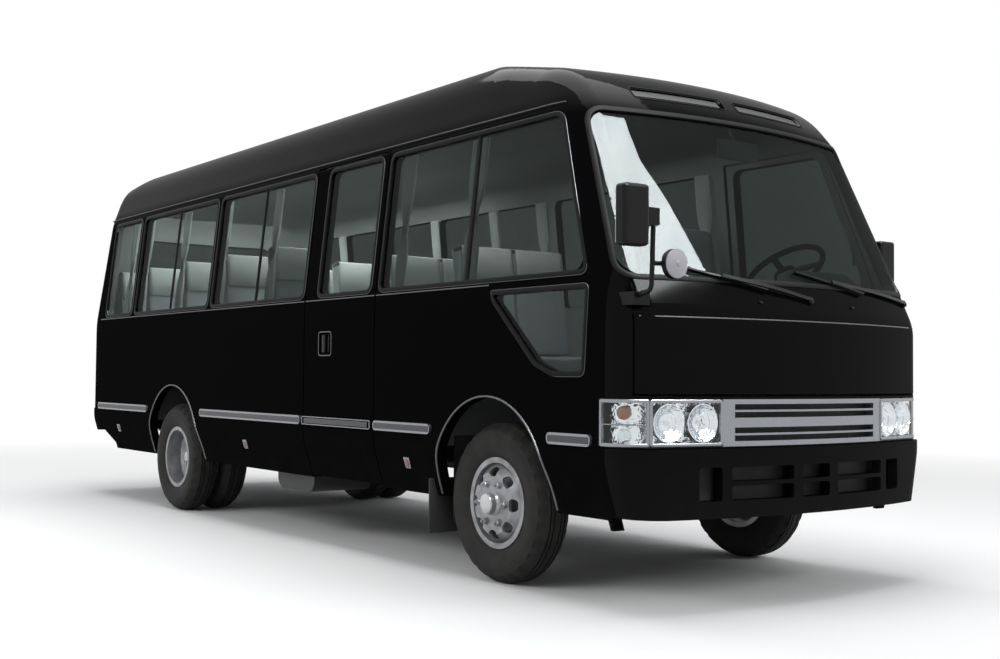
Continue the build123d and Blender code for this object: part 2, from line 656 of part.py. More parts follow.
step_room = [box(STEP_X[0] + SHEET, STEP_X[1] - SHEET, -1100, STEP_MIDDLE_Y, STEP_Z[0], 800),
             box(STEP_X[0] + SHEET, STEP_X[1] - SHEET, STEP_MIDDLE_Y - 1, STEP_EDGE_Y,
                 STEP_Z[1], 800)]
STEP_LIP_Y = -845                           # the steps end here, clear of the closed door
floor_blocks = [box(ahead(-5700), FLOOR_FRONT, -1100, 1100, FLOOR_Z - FLOOR_T, FLOOR_Z),
                box(FIREWALL_X, FIREWALL_X + SHEET, -1100, 1100, FLOOR_Z, FIREWALL_TOP),
                cover_block, step_block, *well_blocks]
with BuildPart() as whole_floor:
    add(floor_blocks)
    add(cavity, mode=Mode.INTERSECT)
    add([cover_room, *step_room, *well_rooms], mode=Mode.SUBTRACT)
    add(box(STEP_X[0] - 1, STEP_X[1] + 1, -1100, STEP_LIP_Y, 0, FLOOR_Z + 1), mode=Mode.SUBTRACT)
    add(box(DRIVER_REAR - SEAM, DRIVER_FRONT + SEAM, BODY_HALF - WALL - SEAM, 1100,
            0, FIREWALL_TOP + 1), mode=Mode.SUBTRACT)

# the floor plate, what stands up from it, and the steps are pieces of their own
steps_zone = box(STEP_X[0], STEP_X[1], -1100, STEP_EDGE_Y + SHEET, 0, FLOOR_Z)
with BuildPart() as floor:
    add(whole_floor.part)
    add(box(-LENGTH, LENGTH, -1300, 1300, 0, FLOOR_Z), mode=Mode.INTERSECT)
    add(steps_zone, mode=Mode.SUBTRACT)
with BuildPart() as entry_steps:
    add(whole_floor.part)
    add(steps_zone, mode=Mode.INTERSECT)
with BuildPart() as floor_housings:         # over the wheels and the engine, and the front bulkhead
    add(whole_floor.part)
    add(box(-LENGTH, LENGTH, -1300, 1300, FLOOR_Z, 2 * FLOOR_Z), mode=Mode.INTERSECT)

# ---------------------------------------------------------------- engine, tank, exhaust
with BuildPart() as engine_block:
    add(box(*ENGINE_X, -ENGINE_HALF, ENGINE_HALF, *ENGINE_Z))
    add(box(ahead(-850), ENGINE_X[0], -GEARBOX_HALF, GEARBOX_HALF, 430, 630))
    for x in (ahead(-200), ahead(450)):     # mounts on the rails
        add(box(x - 30, x + 30, -RAIL_Y[0], RAIL_Y[0], 560, 600))

TANK_X = (ahead(-2450), ahead(-1960))
with BuildPart() as fuel_tank:
    add(box(*TANK_X, -855, -450, 275, 560))
    fillet(fuel_tank.edges().filter_by(Axis.Y), 80)
    for x in (TANK_X[0] + 100, TANK_X[1] - 100):
        add(box(x - 20, x + 20, -560, -RAIL_Y[1], 555, 620))

PIPE_R = 28
MUFFLER_R = 90
MUFFLER_X = (ahead(-1850), ahead(-1150))
MUFFLER_YZ = (540, 455)
TAIL_PIPE_YZ = (481, 500)                   # between the spring and the inner tyre, over the axle
HEAD_PIPE_YZ = (505, 440)                   # below the rail
HEAD_PIPE_X = ahead(-720)
with BuildPart() as exhaust:
    with BuildSketch(Plane.YZ.offset(MUFFLER_X[0])):
        with Locations(MUFFLER_YZ):
            Circle(MUFFLER_R)
    extrude(amount=MUFFLER_X[1] - MUFFLER_X[0])
    with BuildSketch(Plane.YZ.offset(ahead(-5600))):
        with Locations(TAIL_PIPE_YZ):
            Circle(PIPE_R)
    extrude(amount=MUFFLER_X[0] - ahead(-5600))
    with BuildLine():
        FilletPolyline((MUFFLER_X[1], *HEAD_PIPE_YZ), (HEAD_PIPE_X, *HEAD_PIPE_YZ),
                       (HEAD_PIPE_X, GEARBOX_HALF, HEAD_PIPE_YZ[1]), radius=90)
    with BuildSketch(Plane.YZ.offset(MUFFLER_X[1])):
        with Locations(HEAD_PIPE_YZ):
            Circle(PIPE_R)
    sweep()
    for x in (MUFFLER_X[0] + 100, MUFFLER_X[1] - 100):
        add(box(x - 15, x + 15, RAIL_Y[1], 480, 500, 520))

# ---------------------------------------------------------------- axles, springs, steering
KINGPIN_Y = 770
KINGPIN_R = 13
BEAM_Z = (336, 400)
BOSS_R = 30
BOSS_Z = (336, 430)
SPRING_HALF = 600
SPRING_T = 45
HANGER_LENGTH = 70
SPRING_Y = (RAIL_Y[0], RAIL_Y[1])
with BuildPart() as front_axle:
    add(box(FRONT_AXLE_X - 35, FRONT_AXLE_X + 35, -KINGPIN_Y, KINGPIN_Y, *BEAM_Z))
    for side in (-1, 1):
        with Locations((FRONT_AXLE_X, side * KINGPIN_Y, sum(BOSS_Z) / 2)):
            Cylinder(BOSS_R, BOSS_Z[1] - BOSS_Z[0])
        add(box(FRONT_AXLE_X - 60, FRONT_AXLE_X + 60, *sorted((side * SPRING_Y[0], side * SPRING_Y[1])),
                BEAM_Z[0], BEAM_Z[1]))
    for side in (-1, 1):
        add(box(FRONT_AXLE_X - 60, FRONT_AXLE_X + 60, *sorted((side * (KINGPIN_Y - BOSS_R), side * 900)),
                0, BEAM_Z[0]), mode=Mode.SUBTRACT)
        with Locations((FRONT_AXLE_X, side * KINGPIN_Y, sum(BOSS_Z) / 2)):
            Cylinder(KINGPIN_R + PIVOT_CLEAR, 300, mode=Mode.SUBTRACT)

AXLE_TUBE_R = 48
DIFF_R = 165
SPINDLE_R = 30
REAR_TUBE_END = 590
REAR_SPINDLE_END = 690
DRIVE_R = 38
DRIVE_Z = 450
with BuildPart() as rear_axle:
    for radius, half in ((AXLE_TUBE_R, REAR_TUBE_END), (SPINDLE_R, REAR_SPINDLE_END)):
        with Locations(Location((REAR_AXLE_X, 0, AXLE_Z), (90, 0, 0))):
            Cylinder(radius, 2 * half)
    with Locations((REAR_AXLE_X, 0, AXLE_Z)):
        Sphere(DIFF_R)
    for side in (-1, 1):
        add(box(REAR_AXLE_X - 60, REAR_AXLE_X + 60, *sorted((side * SPRING_Y[0], side * SPRING_Y[1])),
                AXLE_Z, AXLE_Z + AXLE_TUBE_R + 2))
    with BuildSketch(Plane.YZ.offset(REAR_AXLE_X)):
        with Locations((0, DRIVE_Z)):
            Circle(DRIVE_R)                 # shaft from the gearbox
    extrude(amount=ahead(-850) - REAR_AXLE_X)



def leaf_spring(axle_x, seat_z, side):
    """A curved pack of leaves over the axle, with its two hangers under the rail."""
    end_z = RAIL_Z[0] - 5
    with BuildPart(mode=Mode.PRIVATE) as spring:
        y0, y1 = sorted((side * SPRING_Y[0], side * SPRING_Y[1]))
        with BuildSketch(Plane.XZ.offset(-y1)):
            with BuildLine():
                ThreePointArc((axle_x - SPRING_HALF, end_z - SPRING_T), (axle_x, seat_z),
                              (axle_x + SPRING_HALF, end_z - SPRING_T))
                Line((axle_x + SPRING_HALF, end_z - SPRING_T), (axle_x + SPRING_HALF, end_z))
                ThreePointArc((axle_x + SPRING_HALF, end_z), (axle_x, seat_z + SPRING_T),
                              (axle_x - SPRING_HALF, end_z))
                Line((axle_x - SPRING_HALF, end_z), (axle_x - SPRING_HALF, end_z - SPRING_T))
            make_face()
        extrude(amount=y1 - y0)
        for end in (-1, 1):
            middle = axle_x + end * (SPRING_HALF - HANGER_LENGTH / 2)
            add(box(middle - HANGER_LENGTH / 2, middle + HANGER_LENGTH / 2, y0, y1,
                    end_z - SPRING_T - 30, RAIL_Z[0]))
    return spring.part


springs = [leaf_spring(FRONT_AXLE_X, BEAM_Z[1], side) for side in (-1, 1)]
springs += [leaf_spring(REAR_AXLE_X, AXLE_Z + AXLE_TUBE_R + 2, side) for side in (-1, 1)]
with BuildPart() as leaf_springs:
    add(springs)

BACKPLATE_R = 150
BACKPLATE_Y = (KINGPIN_Y + 30, KINGPIN_Y + 42)
HUB_START = BACKPLATE_Y[1] + 6
SPINDLE_END = 905
ROD_ARM = 130                               # kingpin to the track rod's eye, rearwards
ROD_Z = 328
ROD_R = 12
ROD_PIN_R = 8
ROD_EYE_Z = (346, 362)


def knuckle(side):
    """A steering knuckle: kingpin, two lugs, back plate, spindle and steering arm."""
    def across(inner, reach):
        return sorted((side * inner, side * reach))
    with BuildPart(mode=Mode.PRIVATE) as piece:
        for z0, z1 in ((308, BOSS_Z[0] - 6), (BOSS_Z[1] + 6, BOSS_Z[1] + 26)):
            add(box(FRONT_AXLE_X - 25, FRONT_AXLE_X + 25, *across(KINGPIN_Y - 30, BACKPLATE_Y[1]),
                    z0, z1))
        with Locations((FRONT_AXLE_X, side * KINGPIN_Y, 308)):
            Cylinder(KINGPIN_R, BOSS_Z[1] + 26 - 308, align=(Align.CENTER, Align.CENTER, Align.MIN))
        with Locations(Location((FRONT_AXLE_X, side * sum(BACKPLATE_Y) / 2, AXLE_Z), (90, 0, 0))):
            Cylinder(BACKPLATE_R, BACKPLATE_Y[1] - BACKPLATE_Y[0])
        spindle_middle = side * (BACKPLATE_Y[1] + SPINDLE_END) / 2
        with Locations(Location((FRONT_AXLE_X, spindle_middle, AXLE_Z), (90, 0, 0))):
            Cylinder(SPINDLE_R, SPINDLE_END - BACKPLATE_Y[1])
        add(box(FRONT_AXLE_X - ROD_ARM - 18, FRONT_AXLE_X - 70,
                *across(KINGPIN_Y - 18, BACKPLATE_Y[1]), *ROD_EYE_Z))
        with Locations((FRONT_AXLE_X - ROD_ARM, side * KINGPIN_Y, sum(ROD_EYE_Z) / 2)):
            Cylinder(ROD_PIN_R + PIVOT_CLEAR, 40, mode=Mode.SUBTRACT)
    return piece.part


with BuildPart() as knuckle_left:
    add(knuckle(1))
with BuildPart() as knuckle_right:
    add(knuckle(-1))

with BuildPart() as track_rod:
    with Locations(Location((FRONT_AXLE_X - ROD_ARM, 0, ROD_Z), (90, 0, 0))):
        Cylinder(ROD_R, 2 * KINGPIN_Y)
    for side in (-1, 1):
        with Locations((FRONT_AXLE_X - ROD_ARM, side * KINGPIN_Y, ROD_Z)):
            Cylinder(ROD_PIN_R, ROD_EYE_Z[1] - ROD_Z, align=(Align.CENTER, Align.CENTER, Align.MIN))

# ---------------------------------------------------------------- wheels
RIM_T = 9
DRUM_R = 150
TYRE_SHOULDER_R = TYRE_R - 22
BEAD_HALF = 66
BEAD_TOP_R = RIM_R + 20


def tyre(center_y):
    """One tyre, as a ring with a flat tread and rounded walls."""
    half = TYRE_WIDTH / 2
    with BuildPart(mode=Mode.PRIVATE) as ring:
        with BuildSketch(Plane.YZ):
            with BuildLine():
                Polyline((center_y - BEAD_HALF, RIM_R), (center_y + BEAD_HALF, RIM_R))
                Line((center_y + BEAD_HALF, RIM_R), (center_y + BEAD_HALF, BEAD_TOP_R))
                ThreePointArc((center_y + BEAD_HALF, BEAD_TOP_R), (center_y + half, 295),
                              (center_y + half - 22, TYRE_SHOULDER_R))
                Polyline((center_y + half - 22, TYRE_SHOULDER_R), (center_y + half - 48, TYRE_R),
                         (center_y - half + 48, TYRE_R), (center_y - half + 22, TYRE_SHOULDER_R))
                ThreePointArc((center_y - half + 22, TYRE_SHOULDER_R), (center_y - half, 295),
                              (center_y - BEAD_HALF, BEAD_TOP_R))
                Line((center_y - BEAD_HALF, BEAD_TOP_R), (center_y - BEAD_HALF, RIM_R))
            make_face()
        revolve(axis=Axis.Y)
    return ring.part


def rim(center_y, side, disc_out):
    """One rim and its disc; disc_out is how far the disc stands outboard of the rim's middle."""
    def point(across, radius):
        return (center_y + side * across, radius)
    half, flange = RIM_WIDTH / 2, RIM_R + 17
    facing = 1 if disc_out > 0 else -1
    with BuildPart(mode=Mode.PRIVATE) as wheel:
        with BuildSketch(Plane.YZ):
            with BuildLine():
                Polyline(point(-half, flange), point(-half + RIM_T, flange),
                         point(-half + RIM_T, RIM_R), point(half - RIM_T, RIM_R),
                         point(half - RIM_T, flange), point(half, flange),
                         point(half, RIM_R - RIM_T), point(-half, RIM_R - RIM_T), close=True)
            make_face()
            with BuildLine():
                Polyline(point(facing * 30, RIM_R - RIM_T + 1),
                         point(facing * 45, RIM_R - RIM_T + 1),
                         point(disc_out, 150), point(disc_out, SPINDLE_R + 20),
                         point(disc_out - facing * 14, SPINDLE_R + 20),
                         point(disc_out - facing * 14, 146), close=True)
            make_face()
        revolve(axis=Axis.Y)
    return wheel.part


def hand_holes(center_y, radius, size, count):
    """Round tools that cut the holes of a wheel disc."""
    with BuildPart(mode=Mode.PRIVATE) as tools:
        with BuildSketch(Plane.XZ.offset(-center_y - 60)):
            with PolarLocations(radius, count):
                SlotOverall(size[1], size[0], rotation=90)
        extrude(amount=120)
    return tools.part


HOLE_RADIUS = 150
HOLE_SIZE = (42, 62)                        # radial and tangential
HOLES = 8
FRONT_DISC = 98
TWIN_DISC = -(TWIN_PITCH / 2 - 7)
HUB_R = 62
CAP_R = 52


def front_wheel(side):
    """Rim, disc, drum and hub of a front wheel, at the frame's middle height."""
    center = side * FRONT_TRACK_HALF
    holes = hand_holes(center + side * 70, HOLE_RADIUS, HOLE_SIZE, HOLES)
    with BuildPart(mode=Mode.PRIVATE) as wheel:
        add(rim(center, side, FRONT_DISC))
        add(holes, mode=Mode.SUBTRACT)
        for radius, y0, y1 in ((DRUM_R - 12, HUB_START, HUB_START + 40),
                               (HUB_R, HUB_START, FRONT_TRACK_HALF + FRONT_DISC),
                               (CAP_R, FRONT_TRACK_HALF + FRONT_DISC - 20,
                                FRONT_TRACK_HALF + FRONT_DISC + 40)):
            with Locations(Location((0, side * (y0 + y1) / 2, 0), (90, 0, 0))):
                Cylinder(radius, y1 - y0)
        with Locations(Location((0, side * (SPINDLE_END + HUB_START) / 2, 0), (90, 0, 0))):
            Cylinder(SPINDLE_R + 0.5, SPINDLE_END - HUB_START + 2, mode=Mode.SUBTRACT)
    return Pos(FRONT_AXLE_X, 0, AXLE_Z) * wheel.part


def rear_wheels(side):
    """Twin rims with their shared hub and drum."""
    inner_y = side * (REAR_TRACK_HALF - TWIN_PITCH / 2)
    outer_y = side * (REAR_TRACK_HALF + TWIN_PITCH / 2)
    holes = hand_holes(side * REAR_TRACK_HALF, HOLE_RADIUS, HOLE_SIZE, HOLES)
    drum_start = REAR_TUBE_END + 6
    with BuildPart(mode=Mode.PRIVATE) as wheels:
        add(rim(outer_y, side, TWIN_DISC))
        add(rim(inner_y, side, -TWIN_DISC))
        add(holes, mode=Mode.SUBTRACT)
        for radius, y0, y1 in ((DRUM_R - 12, drum_start, drum_start + 90),
                               (HUB_R + 14, drum_start, REAR_TRACK_HALF + 10),
                               (CAP_R + 6, REAR_TRACK_HALF, REAR_TRACK_HALF + 95)):
            with Locations(Location((0, side * (y0 + y1) / 2, 0), (90, 0, 0))):
                Cylinder(radius, y1 - y0)
        with Locations(Location((0, side * (REAR_SPINDLE_END + drum_start) / 2, 0), (90, 0, 0))):
            Cylinder(SPINDLE_R + 0.5, REAR_SPINDLE_END - drum_start + 2, mode=Mode.SUBTRACT)
    return Pos(REAR_AXLE_X, 0, AXLE_Z) * wheels.part


wheel_pieces = {}
for name, side in (("left", 1), ("right", -1)):
    wheel_pieces[f"rim_front_{name}"] = front_wheel(side)
    wheel_pieces[f"rims_rear_{name}"] = rear_wheels(side)
    wheel_pieces[f"tyre_front_{name}"] = Pos(FRONT_AXLE_X, 0, AXLE_Z) * tyre(side * FRONT_TRACK_HALF)
    twins = [Pos(REAR_AXLE_X, 0, AXLE_Z) * tyre(side * (REAR_TRACK_HALF + end * TWIN_PITCH / 2))
             for end in (-1, 1)]
    with BuildPart() as twin_tyres:
        add(twins)
    wheel_pieces[f"tyres_rear_{name}"] = twin_tyres.part


# ---------------------------------------------------------------- cabin
SEAT_WIDTH = 420
SEAT_PITCH = 740
SEAT_TOP = FLOOR_Z + 430                    # top of the cushion
CUSHION_T = 110
BACK_T = 110
BACK_TOP = FLOOR_Z + 1130
SEAT_DEPTH = 450
# columns: distance of the seat's back from the front axle, then the seats' middles across
SEAT_ROWS = [(-1700, (230, 655)), (-2560, (-655, 230, 655)), (-3300, (-655, 230, 655)),
             (-4040, (-655, 230, 655)), (-4780, (-655, 230, 655)), (-5400, (-655, -215, 215, 655))]


def seat_outline(back_x, cushion_top):
    """Side view of a seat that faces forward: a cushion and a raked back in one piece."""
    rake = 110
    return [(back_x, cushion_top - CUSHION_T), (back_x + SEAT_DEPTH + BACK_T, cushion_top - CUSHION_T),
            (back_x + SEAT_DEPTH + BACK_T, cushion_top), (back_x + BACK_T, cushion_top),
            (back_x + BACK_T - rake, cushion_top + BACK_TOP - SEAT_TOP),
            (back_x - rake, cushion_top + BACK_TOP - SEAT_TOP), (back_x - 5, cushion_top)]


seat_blocks, seat_stands = [], []
for back, middles in SEAT_ROWS:
    for y in middles:
        left, right = y - SEAT_WIDTH / 2, y + SEAT_WIDTH / 2
        over_well = abs(ahead(back) + 240 - REAR_ARCH[0]) < WELL_HALF_X and abs(y) > WELL_INNER_Y
        foot = WELL_TOP + SHEET if over_well else FLOOR_Z
        seat_blocks.append(side_prism(seat_outline(ahead(back), SEAT_TOP), left, right, 28))
        seat_stands.append(box(ahead(back) + 90, ahead(back) + 390, y - 150, y + 150,
                               foot, SEAT_TOP - CUSHION_T))
with BuildPart() as passenger_seats:
    add(seat_blocks)

DRIVER_Y = 480
DRIVER_SEAT_X = ahead(-330)
DRIVER_CUSHION_TOP = WELL_TOP + SHEET + 240
with BuildPart() as driver_seat:
    add(side_prism(seat_outline(DRIVER_SEAT_X, DRIVER_CUSHION_TOP), DRIVER_Y - 10, DRIVER_Y + 430, 35))
stand = box(DRIVER_SEAT_X + 90, DRIVER_SEAT_X + 470, DRIVER_Y + 60, DRIVER_Y + 360,
            WELL_TOP + SHEET, DRIVER_CUSHION_TOP - CUSHION_T)
with BuildPart() as seat_frames:
    add([*seat_stands, stand])

DASH_TOP = 1430
DASH_FOOT = 1040
BINNACLE_Y = (300, 720)
BINNACLE_TOP = 1535
dash_outline = [(FIREWALL_X - 60, DASH_FOOT), (FIREWALL_X - 60, 1330), (FIREWALL_X + 40, DASH_TOP),
                (ahead(1060), DASH_TOP - 40), (ahead(1060), DASH_TOP - 80),
                (FIREWALL_X - 1, FIREWALL_TOP + 1), (FIREWALL_X - 1, DASH_FOOT)]
with BuildPart() as dashboard:
    add(side_prism(dash_outline, -860, 860))
    add(cavity, mode=Mode.INTERSECT)
    add(side_prism([(FIREWALL_X - 30, 1345), (FIREWALL_X - 20, BINNACLE_TOP - 20),
                    (FIREWALL_X + 60, BINNACLE_TOP), (FIREWALL_X + 220, DASH_TOP - 12)],
                   *BINNACLE_Y))

WHEEL_CENTER = (ahead(545), DRIVER_Y + 210 - 160, 1545)
STEER_LEAN = 35                             # lean of the column back from upright
STEER_R = 215
column_dir = (-sin(radians(STEER_LEAN)), 0, cos(radians(STEER_LEAN)))
wheel_plane = Plane(origin=WHEEL_CENTER, x_dir=(0, 1, 0), z_dir=column_dir)
with BuildPart() as steering_wheel:
    with BuildSketch(Plane(origin=wheel_plane.from_local_coords((STEER_R, 0, 0)),
                           x_dir=wheel_plane.x_dir, z_dir=wheel_plane.y_dir)):
        Circle(15)
    revolve(axis=Axis(WHEEL_CENTER, column_dir))
    with BuildSketch(wheel_plane.offset(-12)):
        Circle(58)
        with PolarLocations(0, 3, start_angle=90):
            with Locations((STEER_R / 2, 0)):
                Rectangle(STEER_R, 34)
    extrude(amount=16)
    with BuildSketch(wheel_plane.offset(-70)):
        Circle(30)
    extrude(amount=60)
COLUMN_LENGTH = 175
with BuildPart() as steering_column:
    with BuildSketch(wheel_plane.offset(-70 - HINGE_CLEAR - COLUMN_LENGTH)):
        Circle(38)
    extrude(amount=COLUMN_LENGTH)
with BuildPart() as dashboard_whole:
    add(dashboard.part)
    add(steering_column.part)

CURTAIN_T = 24
CURTAIN_Z = (1455, 2200)
CURTAIN_HALF = 55
CURTAIN_XS = (-5050, -4722, -3990, -3260, -2480, -1925)
CURTAIN_CLEAR = 0.8


def wall_inside(z):
    """Half width of the cabin at a height above the belt."""
    lean = (BODY_HALF - BELT_HALF) / (GUTTER_Z - SECTION[2][1])
    return BODY_HALF - WALL * sqrt(1 + lean ** 2) - lean * (z - SECTION[2][1])


def curtain(x, side):
    """A gathered curtain that hangs along the leaning wall."""
    points = [(wall_inside(z) - CURTAIN_CLEAR - depth, z)
              for z, depth in ((CURTAIN_Z[0], 0), (CURTAIN_Z[1], 0), (CURTAIN_Z[1], CURTAIN_T),
                               (CURTAIN_Z[0], CURTAIN_T))]
    return front_prism([(side * y, z) for y, z in points], x - CURTAIN_HALF, x + CURTAIN_HALF)


with BuildPart() as curtains:
    add([curtain(ahead(x), side) for x in CURTAIN_XS for side in (-1, 1)])

# ---------------------------------------------------------------- outside fittings
MIRROR_REACH = 1142                         # middle of the bus to the outside of a mirror
MIRROR_X = ahead(1145)
MIRROR_SIZE = (70, 140, 254)
MIRROR_HEAD = (MIRROR_X, MIRROR_SIZE[1] / 2 - MIRROR_REACH, 1660)
MIRROR_ARM_R = 10
ARM_Y = -955                                # upright part of the right mirror's arm
ARM_FOOT = (ahead(970), -925, 1330)
ROUND_MIRROR = (ahead(1170), -860, 1470)
ROUND_R = 62
ROUND_T = 26
DRIVER_MIRROR = (ahead(745), MIRROR_REACH - 60, 1620)
DRIVER_MIRROR_SIZE = (60, 120, 220)
DRIVER_STALK_X = ahead(710)                 # on the frame of the driver's door, ahead of its glass
with BuildPart() as driver_mirror:
    with Locations(DRIVER_MIRROR):
        Box(*DRIVER_MIRROR_SIZE)
    fillet(driver_mirror.edges(), 15)
    with BuildSketch(Plane.XZ.offset(-900)):
        with Locations((DRIVER_STALK_X, DRIVER_MIRROR[2])):
            Circle(1.5 * MIRROR_ARM_R)
    extrude(amount=-160)
    add(outer, mode=Mode.SUBTRACT)
with BuildPart() as mirror_fittings:        # foot on the corner, block behind the head, round mirror
    with Locations(ARM_FOOT):
        Box(150, 90, 56)
    with Locations((MIRROR_X, ARM_Y - 20, MIRROR_HEAD[2])):
        Box(44, 70, 72)
    with BuildSketch(Plane.YZ.offset(ROUND_MIRROR[0] - ROUND_T / 2)):
        with Locations(ROUND_MIRROR[1:]):
            Circle(ROUND_R)
    extrude(amount=ROUND_T)
    with BuildSketch(Plane.XZ.offset(-ARM_Y)):
        with Locations((MIRROR_X, ROUND_MIRROR[2])):
            Circle(MIRROR_ARM_R)
    extrude(amount=ARM_Y - ROUND_MIRROR[1] - ROUND_R / 2)
with BuildPart() as mirrors:
    with Locations(MIRROR_HEAD):
        Box(*MIRROR_SIZE)
    fillet(mirrors.edges(), 20)
    with BuildLine():
        FilletPolyline(ARM_FOOT, (MIRROR_X, ARM_Y - 10, 1360), (MIRROR_X, ARM_Y, 1660),
                       (MIRROR_X, -1010, 1660), radius=30)
    with BuildSketch(Plane(origin=ARM_FOOT, z_dir=(MIRROR_X - ARM_FOOT[0], -40, 30))):
        Circle(MIRROR_ARM_R)
    sweep()
    add(mirror_fittings.part)
    add(outer, mode=Mode.SUBTRACT)

with BuildPart() as rub_strips:
    add([rub_strip(-5430, -4345, -1), rub_strip(-3345, -1850, -1), rub_strip(-992, -432, -1),
         rub_strip(525, 825, -1)])
    add([rub_strip(-5430, -4345, 1), rub_strip(-3345, -432, 1)])

FLAP_T = 8
flap_spans = [(arch[0] - WELL_HALF_X + SHEET, near, 862)
              for arch, near in ((FRONT_ARCH, 690), (REAR_ARCH, 560))]
with BuildPart() as mud_flaps:
    for x, near, far in flap_spans:
        for side in (-1, 1):
            add(side_box(x, x + FLAP_T, near, far, side, 250, FLOOR_Z))

pieces = dict(side_wall_right=side_wall_right_whole, side_wall_left=side_wall_left, roof=roof,
              front_shell=front_shell, rear_shell=rear_shell, hood=hood, tailgate=tailgate,
              front_bumper=front_bumper, rear_bumper=rear_bumper, grille=grille,
              front_lamps=front_lamps, tail_lamps=tail_lamps, windshield=windshield,
              side_glass=side_glass, tailgate_glass=tailgate_glass,
              passenger_door=passenger_door_whole, passenger_door_glass=passenger_door_glass,
              driver_door=driver_door, driver_door_glass=driver_door_glass, door_arm=door_arm,
              chassis_frame=chassis_frame_whole, floor=floor, entry_steps=entry_steps,
              floor_housings=floor_housings, engine_block=engine_block,
              fuel_tank=fuel_tank, exhaust=exhaust, front_axle=front_axle, rear_axle=rear_axle,
              leaf_springs=leaf_springs, knuckle_left=knuckle_left, knuckle_right=knuckle_right,
              track_rod=track_rod, passenger_seats=passenger_seats, driver_seat=driver_seat,
              seat_frames=seat_frames, dashboard=dashboard_whole, steering_wheel=steering_wheel,
              curtains=curtains, mirrors=mirrors,
              driver_mirror=driver_mirror, rub_strips=rub_strips, mud_flaps=mud_flaps)
solids = {label: piece.part for label, piece in pieces.items()}
solids.update(wheel_pieces)
for label, solid in solids.items():
    solid.label = label
    export_step(solid, f"parts/{label}.step")
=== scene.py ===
# %% [markdown]
# A seven metre minibus, in gloss black with silver trim. The frame loaded here holds the real
# panels, glass, wheels and doors in metres, with X forward, Y to the left and Z up. This lesson
# dresses them: it gives each one a finish, then adds what sheet metal alone lacks, such as treads,
# pads, curtains, lamps, seals and wipers. Most places along the bus are measured from the front
# axle, as a coachbuilder would.

# %% load the frame
import math
import random

import bmesh
import bpy
from mathutils import Matrix, Vector
from mathutils.bvhtree import BVHTree


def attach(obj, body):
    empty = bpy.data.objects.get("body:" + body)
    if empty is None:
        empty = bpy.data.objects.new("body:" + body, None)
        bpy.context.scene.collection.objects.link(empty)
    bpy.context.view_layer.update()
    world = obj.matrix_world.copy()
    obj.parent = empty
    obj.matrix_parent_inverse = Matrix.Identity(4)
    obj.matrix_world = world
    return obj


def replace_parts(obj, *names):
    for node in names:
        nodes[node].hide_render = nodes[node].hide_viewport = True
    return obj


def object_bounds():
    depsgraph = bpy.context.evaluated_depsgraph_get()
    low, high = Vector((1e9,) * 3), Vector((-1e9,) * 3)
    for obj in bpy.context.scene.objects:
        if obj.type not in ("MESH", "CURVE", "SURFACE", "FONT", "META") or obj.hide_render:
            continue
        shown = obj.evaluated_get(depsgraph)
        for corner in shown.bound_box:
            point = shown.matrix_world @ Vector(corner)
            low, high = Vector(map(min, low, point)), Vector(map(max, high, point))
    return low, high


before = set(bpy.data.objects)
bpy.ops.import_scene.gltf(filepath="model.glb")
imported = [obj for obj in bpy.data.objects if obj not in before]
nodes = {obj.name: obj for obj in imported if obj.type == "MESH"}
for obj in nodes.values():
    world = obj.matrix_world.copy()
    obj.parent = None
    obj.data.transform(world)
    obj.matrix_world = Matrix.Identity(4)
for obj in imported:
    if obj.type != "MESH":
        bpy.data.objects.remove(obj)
cad_low, cad_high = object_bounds()
FRONT_AXLE, REAR_AXLE, AXLE_Z = 2.295, -1.640, 0.386
RIGHT, LEFT = -1, 1
LABEL = {RIGHT: "right", LEFT: "left"}
print(len(nodes), "nodes, box", [round(v, 3) for v in (*cad_low, *cad_high)])


def ahead(distance):
    """X of a place measured forward of the front axle."""
    return FRONT_AXLE + distance

# %% [markdown]
# Shader maths reads best as plain expressions. A Wave wraps one socket and overloads the usual
# operators, so `1 - mask` adds a Math node. Any other node comes from Finish.node, which sets the
# node's settings first and its sockets next.

# %% a socket that can be added, multiplied and compared
class Wave:
    """A number, colour or vector that changes over a surface."""

    def __init__(self, finish, socket):
        self.finish, self.socket = finish, socket

    def maths(self, operation, *values):
        return self.finish.node("ShaderNodeMath", {"operation": operation}, dict(enumerate(values)))

    def __add__(self, other):
        return self.maths("ADD", self, other)

    def __sub__(self, other):
        return self.maths("SUBTRACT", self, other)

    def __mul__(self, other):
        return self.maths("MULTIPLY", self, other)

    def __truediv__(self, other):
        return self.maths("DIVIDE", self, other)

    def __pow__(self, other):
        return self.maths("POWER", self, other)

    def __rsub__(self, other):
        return self.maths("SUBTRACT", other, self)

    def __lt__(self, other):
        return self.maths("LESS_THAN", self, other)

    def __gt__(self, other):
        return self.maths("GREATER_THAN", self, other)

    __radd__, __rmul__ = __add__, __mul__

    def sine(self):
        return self.maths("SINE", self)

    def positive(self):
        return self.maths("MAXIMUM", self, 0.0)

    def clip(self):
        return self.maths("MINIMUM", self.positive(), 1.0)

# %% [markdown]
# A Finish is one material: a Principled shader whose constants are set on its own sockets, and
# whose colour, roughness and bump come from waves. Images could paint the same marks, but they
# would need unwrapped surfaces; noise and maths on the object's own coordinates need none.

